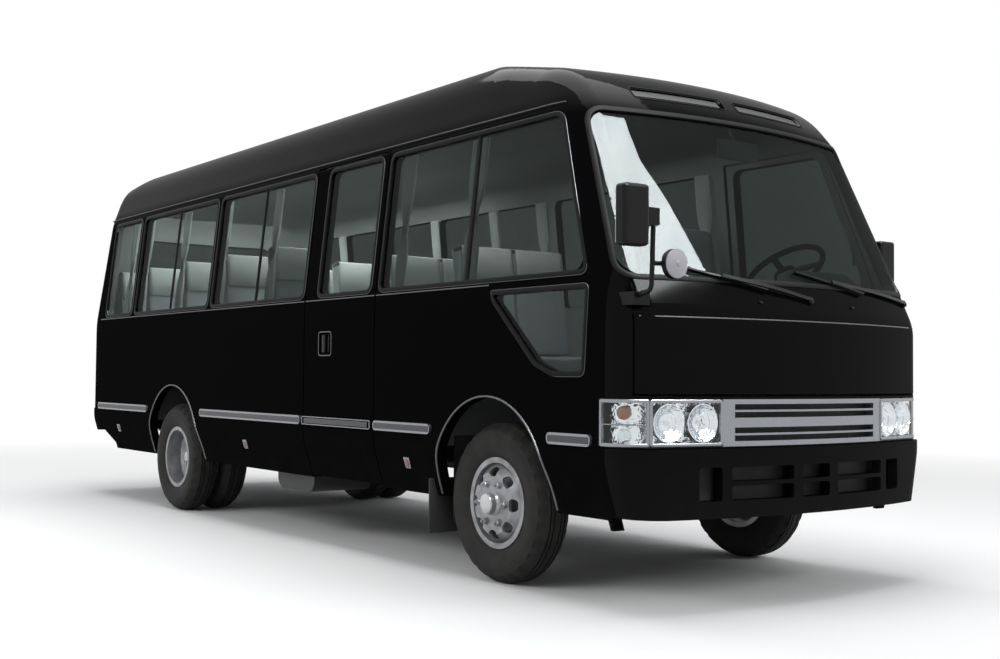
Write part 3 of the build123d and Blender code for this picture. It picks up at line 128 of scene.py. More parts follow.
# %% one material
class Finish:
    """A procedural material with a Principled shader, or a clear one mixed with it."""

    def __init__(self, name, **fixed):
        self.material = bpy.data.materials.new(name)
        self.material.use_nodes = True
        self.tree = self.material.node_tree
        self.tree.nodes.clear()
        self.output = self.tree.nodes.new("ShaderNodeOutputMaterial")
        self.shader = self.tree.nodes.new("ShaderNodeBsdfPrincipled")
        self.tree.links.new(self.shader.outputs[0], self.output.inputs[0])
        for socket, value in fixed.items():
            self.shader.inputs[socket.replace("_", " ")].default_value = value
        self.place = self.node("ShaderNodeTexCoord", {}, {}, "Object")

    def node(self, kind, settings, values, result=0):
        made = self.tree.nodes.new(kind)
        for key, value in settings.items():
            if key == "stops":
                ramp = made.color_ramp
                while len(ramp.elements) < len(value):
                    ramp.elements.new(0.5)
                for element, (at, level) in zip(ramp.elements, value):
                    element.position, element.color = at, (level, level, level, 1)
            else:
                setattr(made, key, value)
        for key, value in values.items():
            self.join(value, made.inputs[key])
        return Wave(self, made.outputs[result])

    def join(self, value, socket):
        if isinstance(value, Wave):
            self.tree.links.new(value.socket, socket)
        else:
            socket.default_value = value

    def noise(self, scale, detail=2.0, stretch=(1, 1, 1)):
        place = self.node("ShaderNodeVectorMath", {"operation": "MULTIPLY"},
                          {0: self.place, 1: stretch})
        return self.node("ShaderNodeTexNoise", {},
                         {"Vector": place, "Scale": scale, "Detail": detail})

    def blend(self, start, end, share):
        start, end = ((*c, 1) if isinstance(c, tuple) and len(c) == 3 else c for c in (start, end))
        return self.node("ShaderNodeMix", {"data_type": "RGBA"}, {0: share, 6: start, 7: end}, 2)

    def parts(self, vector):
        return [self.node("ShaderNodeSeparateXYZ", {}, {0: vector}, axis) for axis in range(3)]

    def paint(self, **waves):
        for socket, wave in waves.items():
            self.join(wave, self.shader.inputs[socket.replace("_", " ")])
        return self

    def raise_by(self, height, distance):
        bump = self.node("ShaderNodeBump", {},
                         {"Strength": 1.0, "Distance": distance, "Height": height})
        return self.paint(Normal=bump)

# %% [markdown]
# Most parts are one colour with a soft cloud of lighter and darker shade, a roughness that varies
# with it and a fine grain. Flat values would look like plastic toys, and a graph drawn by hand for
# each part would repeat itself, so one helper makes that family of finishes.

# %% everyday finishes
def coated(name, colour, rough, cloud=6.0, spread=0.25, grain=300.0, depth=0.0002, **fixed):
    """One colour with clouds of this scale and spread, and a grain of this scale and depth."""
    finish = Finish(name, **fixed)
    shade = finish.noise(cloud, 4)
    light = tuple(min(1.0, c * (1 + spread)) for c in colour)
    dark = tuple(c * (1 - spread) for c in colour)
    finish.paint(Base_Color=finish.blend(dark, light, shade),
                 Roughness=(rough * 0.8 + shade * rough * 0.4).clip())
    return finish.raise_by(finish.noise(grain, 2), depth)


silver = coated("silver_trim", (0.29, 0.30, 0.32), 0.27, spread=0.08, depth=0.00003, Metallic=0.85)
lip_metal = coated("dull_lip", (0.13, 0.135, 0.14), 0.4, spread=0.1, Metallic=0.7)
lamp_chrome = coated("lamp_reflector", (0.80, 0.83, 0.86), 0.10, cloud=25, spread=0.15, grain=38,
                     depth=0.010, Metallic=1.0)
mirror_face = coated("mirror_face", (0.72, 0.75, 0.78), 0.03, spread=0.02, depth=0.0, Metallic=1.0)
strip_grey = coated("strip_insert", (0.05, 0.05, 0.055), 0.4, grain=500, depth=0.0001)
black_plastic = coated("black_moulding", (0.006, 0.006, 0.007), 0.34, grain=900, depth=0.00015,
                       Specular_IOR_Level=0.15)
seal = coated("rubber_seal", (0.010, 0.010, 0.010), 0.55, grain=500, depth=0.0001,
              Specular_IOR_Level=0.08)
flap_rubber = coated("flap_rubber", (0.02, 0.02, 0.021), 0.65, cloud=9, depth=0.0004)
frame_steel = coated("chassis_paint", (0.022, 0.022, 0.023), 0.5, cloud=4, spread=0.5, grain=90,
                     depth=0.0006)
cast_iron = coated("cast_iron", (0.09, 0.085, 0.08), 0.6, cloud=12, spread=0.4, grain=160,
                   depth=0.0012, Metallic=0.5)
floor_mat = coated("floor_mat", (0.16, 0.165, 0.165), 0.6, cloud=5, spread=0.3, grain=220,
                   depth=0.0006)
dash_grain = coated("dash_moulding", (0.42, 0.46, 0.43), 0.55, cloud=3, spread=0.07, grain=700,
                    depth=0.0003)
# Near-black matt colour: painted shade for the dark inside of the grille, intake and brow slots.
painted_shade = coated("intake_shadow", (0.008, 0.008, 0.008), 0.7)
bulb_glass = coated("bulb_amber", (0.35, 0.18, 0.10), 0.15, spread=0.3)
white_board = coated("blank_plate", (0.78, 0.78, 0.76), 0.35, spread=0.04)
hub_paint = coated("hub_cap", (0.66, 0.67, 0.68), 0.25, spread=0.15, Metallic=0.4)
print(len(bpy.data.materials), "materials so far")

# %% [markdown]
# The wheels wear silver paint that brown road dust has settled on. A single colour would look like
# new, so one noise picks paint or dust and makes the dusty patches duller too.

# %% wheel paint
wheel_steel = Finish("wheel_paint", Metallic=0.55, Specular_IOR_Level=0.5)
road_dust = wheel_steel.noise(14, 5)
wheel_steel.paint(Base_Color=wheel_steel.blend((0.40, 0.41, 0.43), (0.20, 0.19, 0.18),
                                               (road_dust * 2.4 - 0.9).clip()),
                  Roughness=(0.28 + road_dust * 0.3).clip())
wheel_steel.raise_by(wheel_steel.noise(240), 0.0002)
print("wheel paint has", len(wheel_steel.tree.nodes), "nodes")

# %% [markdown]
# The body panels are solid walls, black outside and lined inside. They could be split into faces
# by hand, but a mask is surer: a face that looks towards the middle of the bus is lining, and below
# the floor it is dark underseal. Outside, the lacquer keeps a faint ripple and thin dust low on the
# sides, and shines most on the roof.

# %% body paint with its lining
END_X, ROOF_FROM, ROOF_EDGE, CABIN_FLOOR, DUST_TOP, NOSE_X = 2.9, 2.25, 2.2, 0.69, 0.8, 3.2
body_paint = Finish("gloss_black_body", Specular_IOR_Level=0.0, Coat_Roughness=0.06, Coat_IOR=1.45)
px, py, pz = body_paint.parts(body_paint.place)
normal = body_paint.node("ShaderNodeNewGeometry", {}, {}, "Normal")
nx, ny, nz = body_paint.parts(normal)
end_weight = (px > END_X) * (px - END_X) * 4 + (px < -END_X) * (px + END_X) * 4
roof_weight = (pz > ROOF_FROM) * (pz - ROOF_EDGE) * 6
looks_out = nx * end_weight + ny * py + nz * roof_weight
inside = looks_out < -0.12
cabin = inside * (pz > CABIN_FLOOR)
ripple = body_paint.noise(2.5, 2)
dust = body_paint.noise(9, 6) * (DUST_TOP - pz).positive() * 0.7
gloss = ((pz - ROOF_EDGE) * 9).clip() * 0.26 + (px > NOSE_X) * 0.10 + 0.012
lacquer = body_paint.blend((0.0035, 0.0035, 0.004), (0.022, 0.021, 0.02), dust.clip())
lining_shade = body_paint.blend((0.24, 0.25, 0.245), (0.32, 0.33, 0.32), body_paint.noise(3, 3))
under = body_paint.blend((0.012, 0.012, 0.012), (0.03, 0.028, 0.026), ripple)
inner_colour = body_paint.blend(under, lining_shade, cabin)
body_paint.paint(Base_Color=body_paint.blend(lacquer, inner_colour, inside),
                 Roughness=(0.05 + dust * 0.3 + inside * 0.6).clip(),
                 Coat_Weight=(gloss * (1 - inside)).clip())
body_paint.raise_by(body_paint.noise(1.1, 1) * (1 - inside) + body_paint.noise(500) * inside * 0.05,
                    0.0012)
print("body paint has", len(body_paint.tree.nodes), "nodes")

# %% [markdown]
# Glass is mostly a tint that lets the light pass, with a mirror on top that grows towards grazing
# angles. A Mix Shader driven by Facing does both, and light still reaches the seats. Fresnel would
# turn the far face of each pane into a full mirror, because the light leaves the glass there.

# %% clear finishes
FACE_ON, GRAZING = 0.010, 4


def clear(name, tint, gloss, rough=0.015, streak=0.0):
    """A tint with a mirror on it that is faint face on, grows to gloss, and is hazed by streaks."""
    finish = Finish(name, Base_Color=(0.86, 0.88, 0.88, 1), Roughness=rough, Metallic=1.0)
    through = finish.node("ShaderNodeBsdfTransparent", {}, {0: (*tint, 1)})
    facing = finish.node("ShaderNodeLayerWeight", {}, {"Blend": 0.5}, "Facing")
    haze = finish.noise(7, 5, (1, 1, 0.25)) * streak
    share = (facing ** GRAZING * gloss + haze + FACE_ON).clip()
    mirror = Wave(finish, finish.shader.outputs[0])
    mixed = finish.node("ShaderNodeMixShader", {}, {0: share, 1: through, 2: mirror})
    finish.join(mixed, finish.output.inputs[0])
    return finish


tinted = clear("tinted_glass", (0.40, 0.432, 0.422), 0.05, streak=0.008)
screen_clear = clear("windscreen_glass", (0.36, 0.39, 0.382), 0.05, streak=0.006)
lens_clear = clear("clear_lens", (0.92, 0.93, 0.93), 0.7, rough=0.05, streak=0.05)
print("three clear finishes,", len(tinted.tree.nodes), "nodes each")

# %% [markdown]
# Cloth needs a weave. Two crossed sine waves, bent a little by noise, give warp and weft without
# any image, and sheen is a constant on the shader's own socket. The curtains are thin, so light
# from the cabin also comes through them.

# %% cloth finishes
def woven(name, dark, light, pitch, depth, sheen, **fixed):
    """Cloth between two colours, with threads of this pitch raised by this depth."""
    finish = Finish(name, Sheen_Weight=sheen, Sheen_Roughness=0.5, **fixed)
    x, y, z = finish.parts(finish.place)
    turn = 2 * math.pi / pitch
    bend = finish.noise(40, 2) * 3
    warp, weft = ((x + y) * turn + bend).sine(), ((z + x) * turn + bend).sine()
    threads = (warp * weft * 0.5 + 0.5).clip()
    patch = finish.noise(5, 4)
    finish.paint(Base_Color=finish.blend(dark, light, (threads * 0.5 + patch * 0.5).clip()),
                 Roughness=(0.8 + threads * 0.15).clip())
    return finish.raise_by(threads + patch * 0.4, depth)


seat_cloth = woven("seat_cloth", (0.34, 0.36, 0.38), (0.58, 0.61, 0.63), 0.006, 0.0010, 0.3)
cover_cloth = woven("head_cover_cloth", (0.78, 0.80, 0.79), (0.95, 0.96, 0.95), 0.003, 0.0005, 0.2)
curtain_cloth = woven("curtain_cloth", (0.74, 0.78, 0.74), (0.93, 0.95, 0.92), 0.003, 0.0006, 0.25,
                      Subsurface_Weight=1.0, Subsurface_Radius=(0.006, 0.006, 0.006),
                      Subsurface_Scale=1.0)
print("a weave has", len(seat_cloth.tree.nodes), "nodes")

# %% [markdown]
# Tyre rubber is dark and dull, with road dust on it in soft grey patches. One noise drives colour
# and roughness together, so the dusty patches are the dullest, and a fine grain breaks the shine.

# %% tyre rubber
tyre_rubber = Finish("tyre_rubber", Specular_IOR_Level=0.3)
grime = tyre_rubber.noise(11, 6)
tyre_rubber.paint(Base_Color=tyre_rubber.blend((0.012, 0.012, 0.012), (0.05, 0.047, 0.043),
                                               (grime * 1.6 - 0.5).clip()),
                  Roughness=(0.62 + grime * 0.25).clip())
tyre_rubber.raise_by(tyre_rubber.noise(260, 3), 0.0005)
print("tyre rubber has", len(tyre_rubber.tree.nodes), "nodes")

# %% [markdown]
# Rear lamps are one moulding in bands: amber above, red in the middle and clear below. Three pieces
# could stand for them, but the height on the lamp can pick the band, and a fine ribbing stands for
# the prisms inside.

# %% rear lamp bands
AMBER_FROM, CLEAR_BELOW, RIB_TURN = 1.08, 0.90, 700
rear_lens = Finish("rear_lamp_bands", Coat_Weight=1.0, Coat_Roughness=0.02)
_, ly, lz = rear_lens.parts(rear_lens.place)
red_amber = rear_lens.blend((0.32, 0.008, 0.008), (0.55, 0.16, 0.01), lz > AMBER_FROM)
rear_lens.paint(Base_Color=rear_lens.blend(red_amber, (0.62, 0.62, 0.62), lz < CLEAR_BELOW),
                Roughness=(0.12 + rear_lens.noise(30) * 0.08).clip())
rear_lens.raise_by((ly * RIB_TURN).sine() + (lz * RIB_TURN).sine(), 0.0006)
print(len(bpy.data.materials), "materials")

# %% [markdown]
# Each node of the frame keeps its shape and takes one of these finishes. They could be set one by
# one, but a table reads better: it says which nodes wear a finish, and all nodes that aren't in it
# are body panels.

# %% finishes for the frame's nodes
NODE_FINISH = {
    silver: ("grille", "rub_strips"),
    lens_clear: ("front_lamps",),
    rear_lens: ("tail_lamps",),
    screen_clear: ("windshield",),
    tinted: ("side_glass", "tailgate_glass", "passenger_door_glass", "driver_door_glass"),
    frame_steel: ("chassis_frame", "door_arm", "fuel_tank", "front_axle", "rear_axle",
                  "leaf_springs", "track_rod", "seat_frames"),
    cast_iron: ("engine_block", "knuckle_left", "knuckle_right", "exhaust"),
    floor_mat: ("floor", "entry_steps", "floor_housings"),
    dash_grain: ("dashboard",),
    black_plastic: ("steering_wheel", "mirrors", "driver_mirror"),
    flap_rubber: ("mud_flaps",),
    wheel_steel: ("rim_front_left", "rim_front_right", "rims_rear_left", "rims_rear_right"),
}
finish_of = {name: finish for finish, names in NODE_FINISH.items() for name in names}
for name, node in nodes.items():
    node.data.materials.clear()
    node.data.materials.append(finish_of.get(name, body_paint).material)
print(len(finish_of), "nodes with a finish of their own")

# %% [markdown]
# Added pieces are gathered in a Heap, a plain list of points and faces, and become one mesh at the
# end. Joining finished objects would do the same with more steps. Like things, such as wheel nuts,
# stay in one object on the body that carries them.

# %% heaps of points and faces
class Heap:
    """Points and faces of one piece, gathered from simple shapes."""

    def __init__(self):
        self.points, self.faces = [], []

    def put(self, shape, move=Matrix()):
        base = len(self.points)
        points, faces = shape
        self.points += [move @ Vector(p) for p in points]
        self.faces += [[base + i for i in face] for face in faces]
        return self

    def piece(self, name, finish, body, slot, sheet=0.0):
        """Make the mesh, as a solid or as a sheet of this thickness, and let it ride on a body."""
        mesh = bpy.data.meshes.new(name)
        mesh.from_pydata(self.points, [], self.faces)
        if not sheet:
            solid = bmesh.new()
            solid.from_mesh(mesh)
            bmesh.ops.recalc_face_normals(solid, faces=solid.faces)
            solid.to_mesh(mesh)
            solid.free()
        made = bpy.data.objects.new(name, mesh)
        bpy.context.scene.collection.objects.link(made)
        mesh.materials.append(finish.material)
        mesh.shade_smooth()
        if sheet:
            thick = made.modifiers.new("thickness", "SOLIDIFY")
            thick.thickness, thick.offset = sheet, 0
        else:
            mesh.set_sharp_from_angle(angle=math.radians(38))
        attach(made, body)
        return made

# %% [markdown]
# Every added shape is made round its own middle and then moved. One helper places it by numbers,
# the other stands it on a spot of the body, facing the way that the skin faces there.

# %% moves
def place(x, y, z, turn_z=0.0, turn_y=0.0, turn_x=0.0):
    """A move that turns about x, y and z in degrees, and then shifts."""
    turn = (Matrix.Rotation(math.radians(turn_z), 4, "Z")
            @ Matrix.Rotation(math.radians(turn_y), 4, "Y")
            @ Matrix.Rotation(math.radians(turn_x), 4, "X"))
    return Matrix.Translation((x, y, z)) @ turn


def stand(spot, out):
    """A move that stands a shape on a spot, with its Z along the direction out."""
    return Matrix.Translation(spot) @ Vector(out).to_track_quat("Z", "Y").to_matrix().to_4x4()

# %% [markdown]
# Four small shapes do most of the work. The first two are a block with rounded edges and a turned
# profile. Real parts have no sharp edges, so the block is always bevelled, and lathe work such as
# nuts, caps and bowls is best given as radius and height.

# %% blocks and turned shapes
def block(length, width, height, edge=0.004, steps=2):
    """A block round its middle, with its edges rounded."""
    solid = bmesh.new()
    bmesh.ops.create_cube(solid, size=1.0, matrix=Matrix.Diagonal((length, width, height, 1)))
    bmesh.ops.bevel(solid, geom=solid.edges[:], offset=edge, segments=steps, profile=0.5,
                    affect="EDGES")
    solid.verts.index_update()
    shape = [v.co.copy() for v in solid.verts], [[v.index for v in f.verts] for f in solid.faces]
    solid.free()
    return shape


def turned(profile, steps=32):
    """A profile of (radius, height) turned round Z, with its ends closed."""
    points, faces = [], []
    for radius, height in profile:
        for step in range(steps):
            angle = 2 * math.pi * step / steps
            points.append((radius * math.cos(angle), radius * math.sin(angle), height))
    for ring in range(len(profile) - 1):
        for step in range(steps):
            after = (step + 1) % steps
            faces.append([ring * steps + step, ring * steps + after,
                          (ring + 1) * steps + after, (ring + 1) * steps + step])
    faces.append(list(range(steps)))
    faces.append(list(range((len(profile) - 1) * steps, len(profile) * steps)))
    return points, faces

# %% [markdown]
# The other two follow a path. Blender can bevel a curve, but its twist along a rail is hard to
# steer. Here every ring of points is set square to the path and to the skin's own direction, so a
# flat moulding never twists off the panel. A third helper rounds the corners of a path.

# %% sections along a path
def swept(rail, section, closed=False):
    """A section of (across, out) pairs carried along a rail of (point, outward normal) pairs."""
    points, faces, count = [], [], len(section)
    for index, (spot, out) in enumerate(rail):
        before = rail[index - 1][0] if index or closed else spot
        after = rail[(index + 1) % len(rail)][0] if index < len(rail) - 1 or closed else spot
        along = (Vector(after) - Vector(before)).normalized()
        across = Vector(out).cross(along).normalized()
        rise = along.cross(across)
        points += [Vector(spot) + across * u + rise * v for u, v in section]
    spans = len(rail) if closed else len(rail) - 1
    for index in range(spans):
        near, far = index * count, ((index + 1) % len(rail)) * count
        for k in range(count):
            after = (k + 1) % count
            faces.append([near + k, near + after, far + after, far + k])
    if not closed:
        faces += [list(range(count)), list(range((len(rail) - 1) * count, len(rail) * count))]
    return points, faces


def tube(path, radius, steps=12, up=(0.13, 0.21, 0.97)):
    """A round bar along a path."""
    ring = [(radius * math.cos(2 * math.pi * k / steps), radius * math.sin(2 * math.pi * k / steps))
            for k in range(steps)]
    return swept([(p, up) for p in path], ring)


def curve(corners, radius, steps=5, closed=False):
    """A path with its corners rounded, as evenly turned points."""
    corners = [Vector(c) for c in corners]
    path = []
    for index, corner in enumerate(corners):
        if not closed and index in (0, len(corners) - 1):
            path.append(corner)
            continue
        before, after = corners[index - 1], corners[(index + 1) % len(corners)]
        reach = min(radius, (before - corner).length / 2.01, (after - corner).length / 2.01)
        start = corner + (before - corner).normalized() * reach
        end = corner + (after - corner).normalized() * reach
        for k in range(steps + 1):
            t = k / steps
            path.append(start * (1 - t) ** 2 + corner * 2 * t * (1 - t) + end * t ** 2)
    return path

# %% [markdown]
# Trim has to lie on curved panels. Its points could be typed in, but they would float or sink when
# a panel changes. A ray shot at the frame's own nodes finds the skin and its direction at any place
# on a side, the front or the rear, so strips follow the real surface.

# %% finding the skin
trees = {}


def skin(names, start, heading):
    """The nearest point that a ray meets on these nodes, and the direction the skin faces there."""
    best = None
    for name in names:
        if name not in trees:
            mesh = nodes[name].data
            trees[name] = BVHTree.FromPolygons([v.co for v in mesh.vertices],
                                               [p.vertices for p in mesh.polygons])
        spot, out, _, distance = trees[name].ray_cast(Vector(start), Vector(heading))
        if spot is not None and (best is None or distance < best[2]):
            best = (spot, out, distance)
    if best is None:
        raise ValueError(f"no skin of {names} from {tuple(start)}")
    out = best[1] if best[1].dot(Vector(heading)) < 0 else -best[1]
    return best[0], out


def on_side(side, points, names):
    """Rails on the side, through (x, z) places, from two metres out."""
    return [skin(names, (x, side * 2, z), (0, -side, 0)) for x, z in points]


def on_front(points, names):
    """Rails on the front, through (y, z) places."""
    return [skin(names, (5, y, z), (-1, 0, 0)) for y, z in points]


def on_rear(points, names):
    """Rails on the rear, through (y, z) places."""
    return [skin(names, (-5, y, z), (1, 0, 0)) for y, z in points]


(spot, _), = on_side(RIGHT, [(0, 1.2)], ("side_wall_right",))
print("skin below the belt", [round(v, 3) for v in spot])

# %% [markdown]
# Rays need many places to be asked at. These helpers give them: evenly spaced points on a line, and
# closed outlines with rounded corners. Two sections serve for most trim, a low rounded bead and a
# flat strap.

# %% lines, outlines and sections
def line(start, end, pitch=0.08):
    """Evenly spaced points from start to end."""
    count = max(2, round((Vector(end) - Vector(start)).length / pitch) + 1)
    return [tuple(Vector(start).lerp(Vector(end), k / (count - 1))) for k in range(count)]


def loop(points, radius, pitch=0.1):
    """A closed outline with rounded corners and points along its straight runs."""
    rounded = curve([(u, v, 0) for u, v in points], radius, 6, True)
    dense = []
    for index, spot in enumerate(rounded):
        after = rounded[(index + 1) % len(rounded)]
        dense += [(p[0], p[1]) for p in line(spot, after, pitch)[:-1]]
    return dense


def corners(start, end, low, high):
    """The four corners of a rectangle, in order round it."""
    return [(start, low), (end, low), (end, high), (start, high)]


def bead(width, out, sink=0.003):
    """Section of a low rounded strip."""
    half = width / 2
    return [(-half, -sink), (-half, out * 0.55), (-half * 0.6, out), (half * 0.6, out),
            (half, out * 0.55), (half, -sink)]


def strap(width, thick):
    """Section of a flat strap."""
    half = width / 2
    return [(-half, 0), (-half, thick), (half, thick), (half, 0)]


print("points of a one metre square", len(loop(corners(0, 1, 0, 1), 0.05)))

# %% [markdown]
# Thin bright lines run along the body at the belt, where the windows stand. A line could be cut
# from a long box, but the walls lean and bend, so a small section is swept along points found on
# the skin. Each panel carries its own length, so that the line parts where a door opens.

# %% belt lines
def trim(name, rail, section, finish, body, slot, closed=False):
    """One strip of trim along a rail, as a piece of its own."""
    return Heap().put(swept(rail, section, closed)).piece(name, finish, body, slot)


BELT_Z, BELT_REAR, DOOR_GAP = 1.432, ahead(-5.45), 0.018
DOOR_REAR, DOOR_FRONT = ahead(-1.840), ahead(-1.002)
DRIVER_REAR, DRIVER_FRONT = ahead(-0.214), ahead(0.79)
belt_runs = [
    ("right_rear", RIGHT, BELT_REAR, DOOR_REAR, "side_wall_right", "body"),
    ("door", RIGHT, DOOR_REAR + DOOR_GAP, DOOR_FRONT - DOOR_GAP, "passenger_door",
     "passenger_door"),
    ("right_front", RIGHT, DOOR_FRONT, ahead(0.052), "side_wall_right", "body"),
    ("left_rear", LEFT, BELT_REAR, DRIVER_REAR - 0.01, "side_wall_left", "body"),
    ("driver", LEFT, DRIVER_REAR + DOOR_GAP, DRIVER_FRONT, "driver_door", "driver_door"),
]
for name, side, start, end, panel, body in belt_runs:
    rail = on_side(side, line((start, BELT_Z), (end, BELT_Z)), (panel,))
    trim(f"belt_line_{name}", rail, bead(0.006, 0.003), lip_metal, body, "silver_plastic")
print(len(belt_runs), "belt lines at", BELT_Z)

# %% [markdown]
# A rubber drip rail keeps rain off the windows, and a bright line runs along it. The line uses the
# same rail, pushed out along the skin's own direction, so the two can't part. The front lid has a
# finer line of the same kind near its upper edge.

# %% drip rails and lid line
DRIP_Z, DRIP_REAR, DRIP_FRONT = 2.252, ahead(-5.44), ahead(0.50)
LID_HALF, LID_Z = 0.93, 1.257
for side, label in LABEL.items():
    rail = on_side(side, line((DRIP_REAR, DRIP_Z), (DRIP_FRONT, DRIP_Z)),
                   (f"side_wall_{label}", "front_shell"))
    trim(f"drip_rail_{label}", rail, bead(0.016, 0.010), seal, "body", "rubber")
    trim(f"drip_line_{label}", [(p + n * 0.008, n) for p, n in rail], bead(0.005, 0.005),
         lip_metal, "body", "silver_plastic")
rail = on_front(line((-LID_HALF, LID_Z), (LID_HALF, LID_Z)), ("hood",))
trim("lid_line", rail, bead(0.005, 0.0018), lip_metal, "hood", "silver_plastic")
print("drip rails", round(DRIP_FRONT - DRIP_REAR, 2), "m long")

# %% [markdown]
# Rub strips are silver mouldings with a dark insert along their middle. The strips are in the
# frame, so only the insert is added, proud of the strip by two millimetres. Their outer face is
# flat and upright, so these rails need no ray. On the doors a fine edge runs round the strip.

# %% rub strip inserts
STRIP_Z, STRIP_HALF, STRIP_FACE = 0.726, 0.022, 1.0205
strip_runs = {
    "body": [(RIGHT, -5.42, -4.355), (RIGHT, -3.335, -1.86), (RIGHT, -0.982, -0.442),
             (RIGHT, 0.535, 0.815), (LEFT, -5.42, -4.355), (LEFT, -3.335, -0.442)],
    "passenger_door": [(RIGHT, -1.79, -1.05)],
    "driver_door": [(LEFT, 0.63, 0.775)],
}


def strip_rail(side, spots):
    """A rail on the flat face of the strips, through (x, z) spots."""
    return [(Vector((x, side * STRIP_FACE, z)), Vector((0, side, 0))) for x, z in spots]


for body, runs in strip_runs.items():
    insert = Heap()
    for side, start, end in runs:
        rail = strip_rail(side, [(ahead(x), STRIP_Z) for x in (start, end)])
        insert.put(swept(rail, bead(0.030, 0.0022)))
    insert.piece(f"strip_insert_{body}", strip_grey, body, "black_plastic")
for side, start, end, body in ((RIGHT, -1.815, -1.025, "passenger_door"),
                               (LEFT, 0.605, 0.785, "driver_door")):
    edge = loop(corners(ahead(start), ahead(end), STRIP_Z - STRIP_HALF, STRIP_Z + STRIP_HALF), 0.01)
    trim(f"strip_edge_{body}", strip_rail(side, edge), bead(0.006, 0.003), silver, body,
         "silver_plastic", True)
print(sum(len(runs) for runs in strip_runs.values()), "lengths of insert")

# %% [markdown]
# Every pane sits in a rubber seal that laps the panel and the glass. The outline of each opening
# is a list of corners, because the front panes lean with the windscreen and the low pane slopes
# along its rear. Growing an outline a little gives the seal's path and, further out, the lip's.

# %% window outlines
WINDOW_LOW, WINDOW_TOP = 1.465, 2.195
wide_windows = [(-5.335, -4.765), (-4.68, -3.30), (-3.22, -1.87)]
left_windows = wide_windows + [(-1.79, -0.29)]
front_pane = [(-0.97, WINDOW_LOW), (0.765, WINDOW_LOW), (0.490, WINDOW_TOP), (-0.97, WINDOW_TOP)]
low_pane = [(0.085, 1.385), (0.105, 1.345), (0.415, 1.065), (0.540, 1.020), (0.750, 1.020),
            (0.775, 1.385)]
driver_pane = [(-0.14, WINDOW_LOW), (0.735, WINDOW_LOW), (0.478, WINDOW_TOP), (-0.14, WINDOW_TOP)]


def pane(start, end):
    """The outline of a plain side window."""
    return corners(start, end, WINDOW_LOW, WINDOW_TOP)


def grown(points, by):
    """An outline moved outwards all round by a small amount."""
    middle = sum((Vector(p) for p in points), Vector((0, 0))) / len(points)
    low = Vector((min(p[0] for p in points), min(p[1] for p in points)))
    high = Vector((max(p[0] for p in points), max(p[1] for p in points)))
    span = high - low
    return [((p[0] - middle.x) * (1 + 2 * by / span.x) + middle.x,
             (p[1] - middle.y) * (1 + 2 * by / span.y) + middle.y) for p in points]


side_panes = [(RIGHT, f"window_{k}_right", pane(*ends), 0.055, "side_wall_right", "body")
              for k, ends in enumerate(wide_windows)]
side_panes += [(LEFT, f"window_{k}_left", pane(*ends), 0.055, "side_wall_left", "body")
               for k, ends in enumerate(left_windows)]
side_panes += [
    (RIGHT, "front_window", front_pane, 0.055, "side_wall_right", "body"),
    (RIGHT, "low_window", low_pane, 0.03, "side_wall_right", "body"),
    (RIGHT, "door_window", pane(-1.667, -1.078), 0.055, "passenger_door", "passenger_door"),
    (LEFT, "driver_window", driver_pane, 0.055, "driver_door", "driver_door"),
]
print(len(side_panes), "side windows")

# %% [markdown]
# A seal could be a flat ring, but a closed rail laid on the skin round each window bends with the
# panel. Side panes also get a fine bright lip; the windscreen and the lid's pane have a seal only.

# %% window seals
SEAL_EDGE = ("seal", 0.009, 0.0, bead(0.022, 0.0045, 0.012), seal, "rubber")
LIP_EDGE = ("lip", 0.021, 0.01, bead(0.0028, 0.0022), lip_metal, "silver_plastic")
for side, name, outline, radius, panel, body in side_panes:
    for kind, by, rounder, section, finish, slot in (SEAL_EDGE, LIP_EDGE):
        shape = [(ahead(x), z) for x, z in grown(outline, by)]
        rail = on_side(side, loop(shape, radius + rounder), (panel,))
        trim(f"{kind}_{name}", rail, section, finish, body, slot, True)
screen = [(-0.955, 1.437), (0.955, 1.437), (0.855, 2.210), (-0.855, 2.210)]
gate_pane = corners(-0.575, 0.575, 1.470, 2.130)
wide_seal = bead(0.026, 0.005, 0.014)
trim("seal_screen", on_front(loop(grown(screen, 0.010), 0.08), ("front_shell",)), wide_seal, seal,
     "body", "rubber", True)
trim("seal_gate", on_rear(loop(grown(gate_pane, 0.010), 0.07), ("tailgate",)), wide_seal, seal,
     "tailgate", "rubber", True)
print(2 * len(side_panes) + 2, "seals and lips")

# %% [markdown]
# The long windows slide, so a slim upright joint stands at their middle. The front window on the
# right and the one behind the driver have a fixed upright. Each is a rubber bead laid on the glass.

# %% window uprights
SLIDING_JOINTS, FIXED_UPRIGHT = (-3.99, -2.545), {RIGHT: -0.16, LEFT: -1.04}
for side, label in LABEL.items():
    uprights = Heap()
    for x, width in [*((x, 0.022) for x in SLIDING_JOINTS), (FIXED_UPRIGHT[side], 0.030)]:
        upright = line((ahead(x), WINDOW_LOW + 0.005), (ahead(x), WINDOW_TOP - 0.005))
        uprights.put(swept(on_side(side, upright, ("side_glass",)), bead(width, 0.004, 0.008)))
    uprights.piece(f"window_uprights_{label}", seal, "body", "rubber")
    print(label, "uprights", len(uprights.faces), "faces")

# %% [markdown]
# The wheel arches have a rolled lip: a half circle with a short straight foot at each end, swept
# on the wall. The left front arch has none, because the driver's door crosses it.

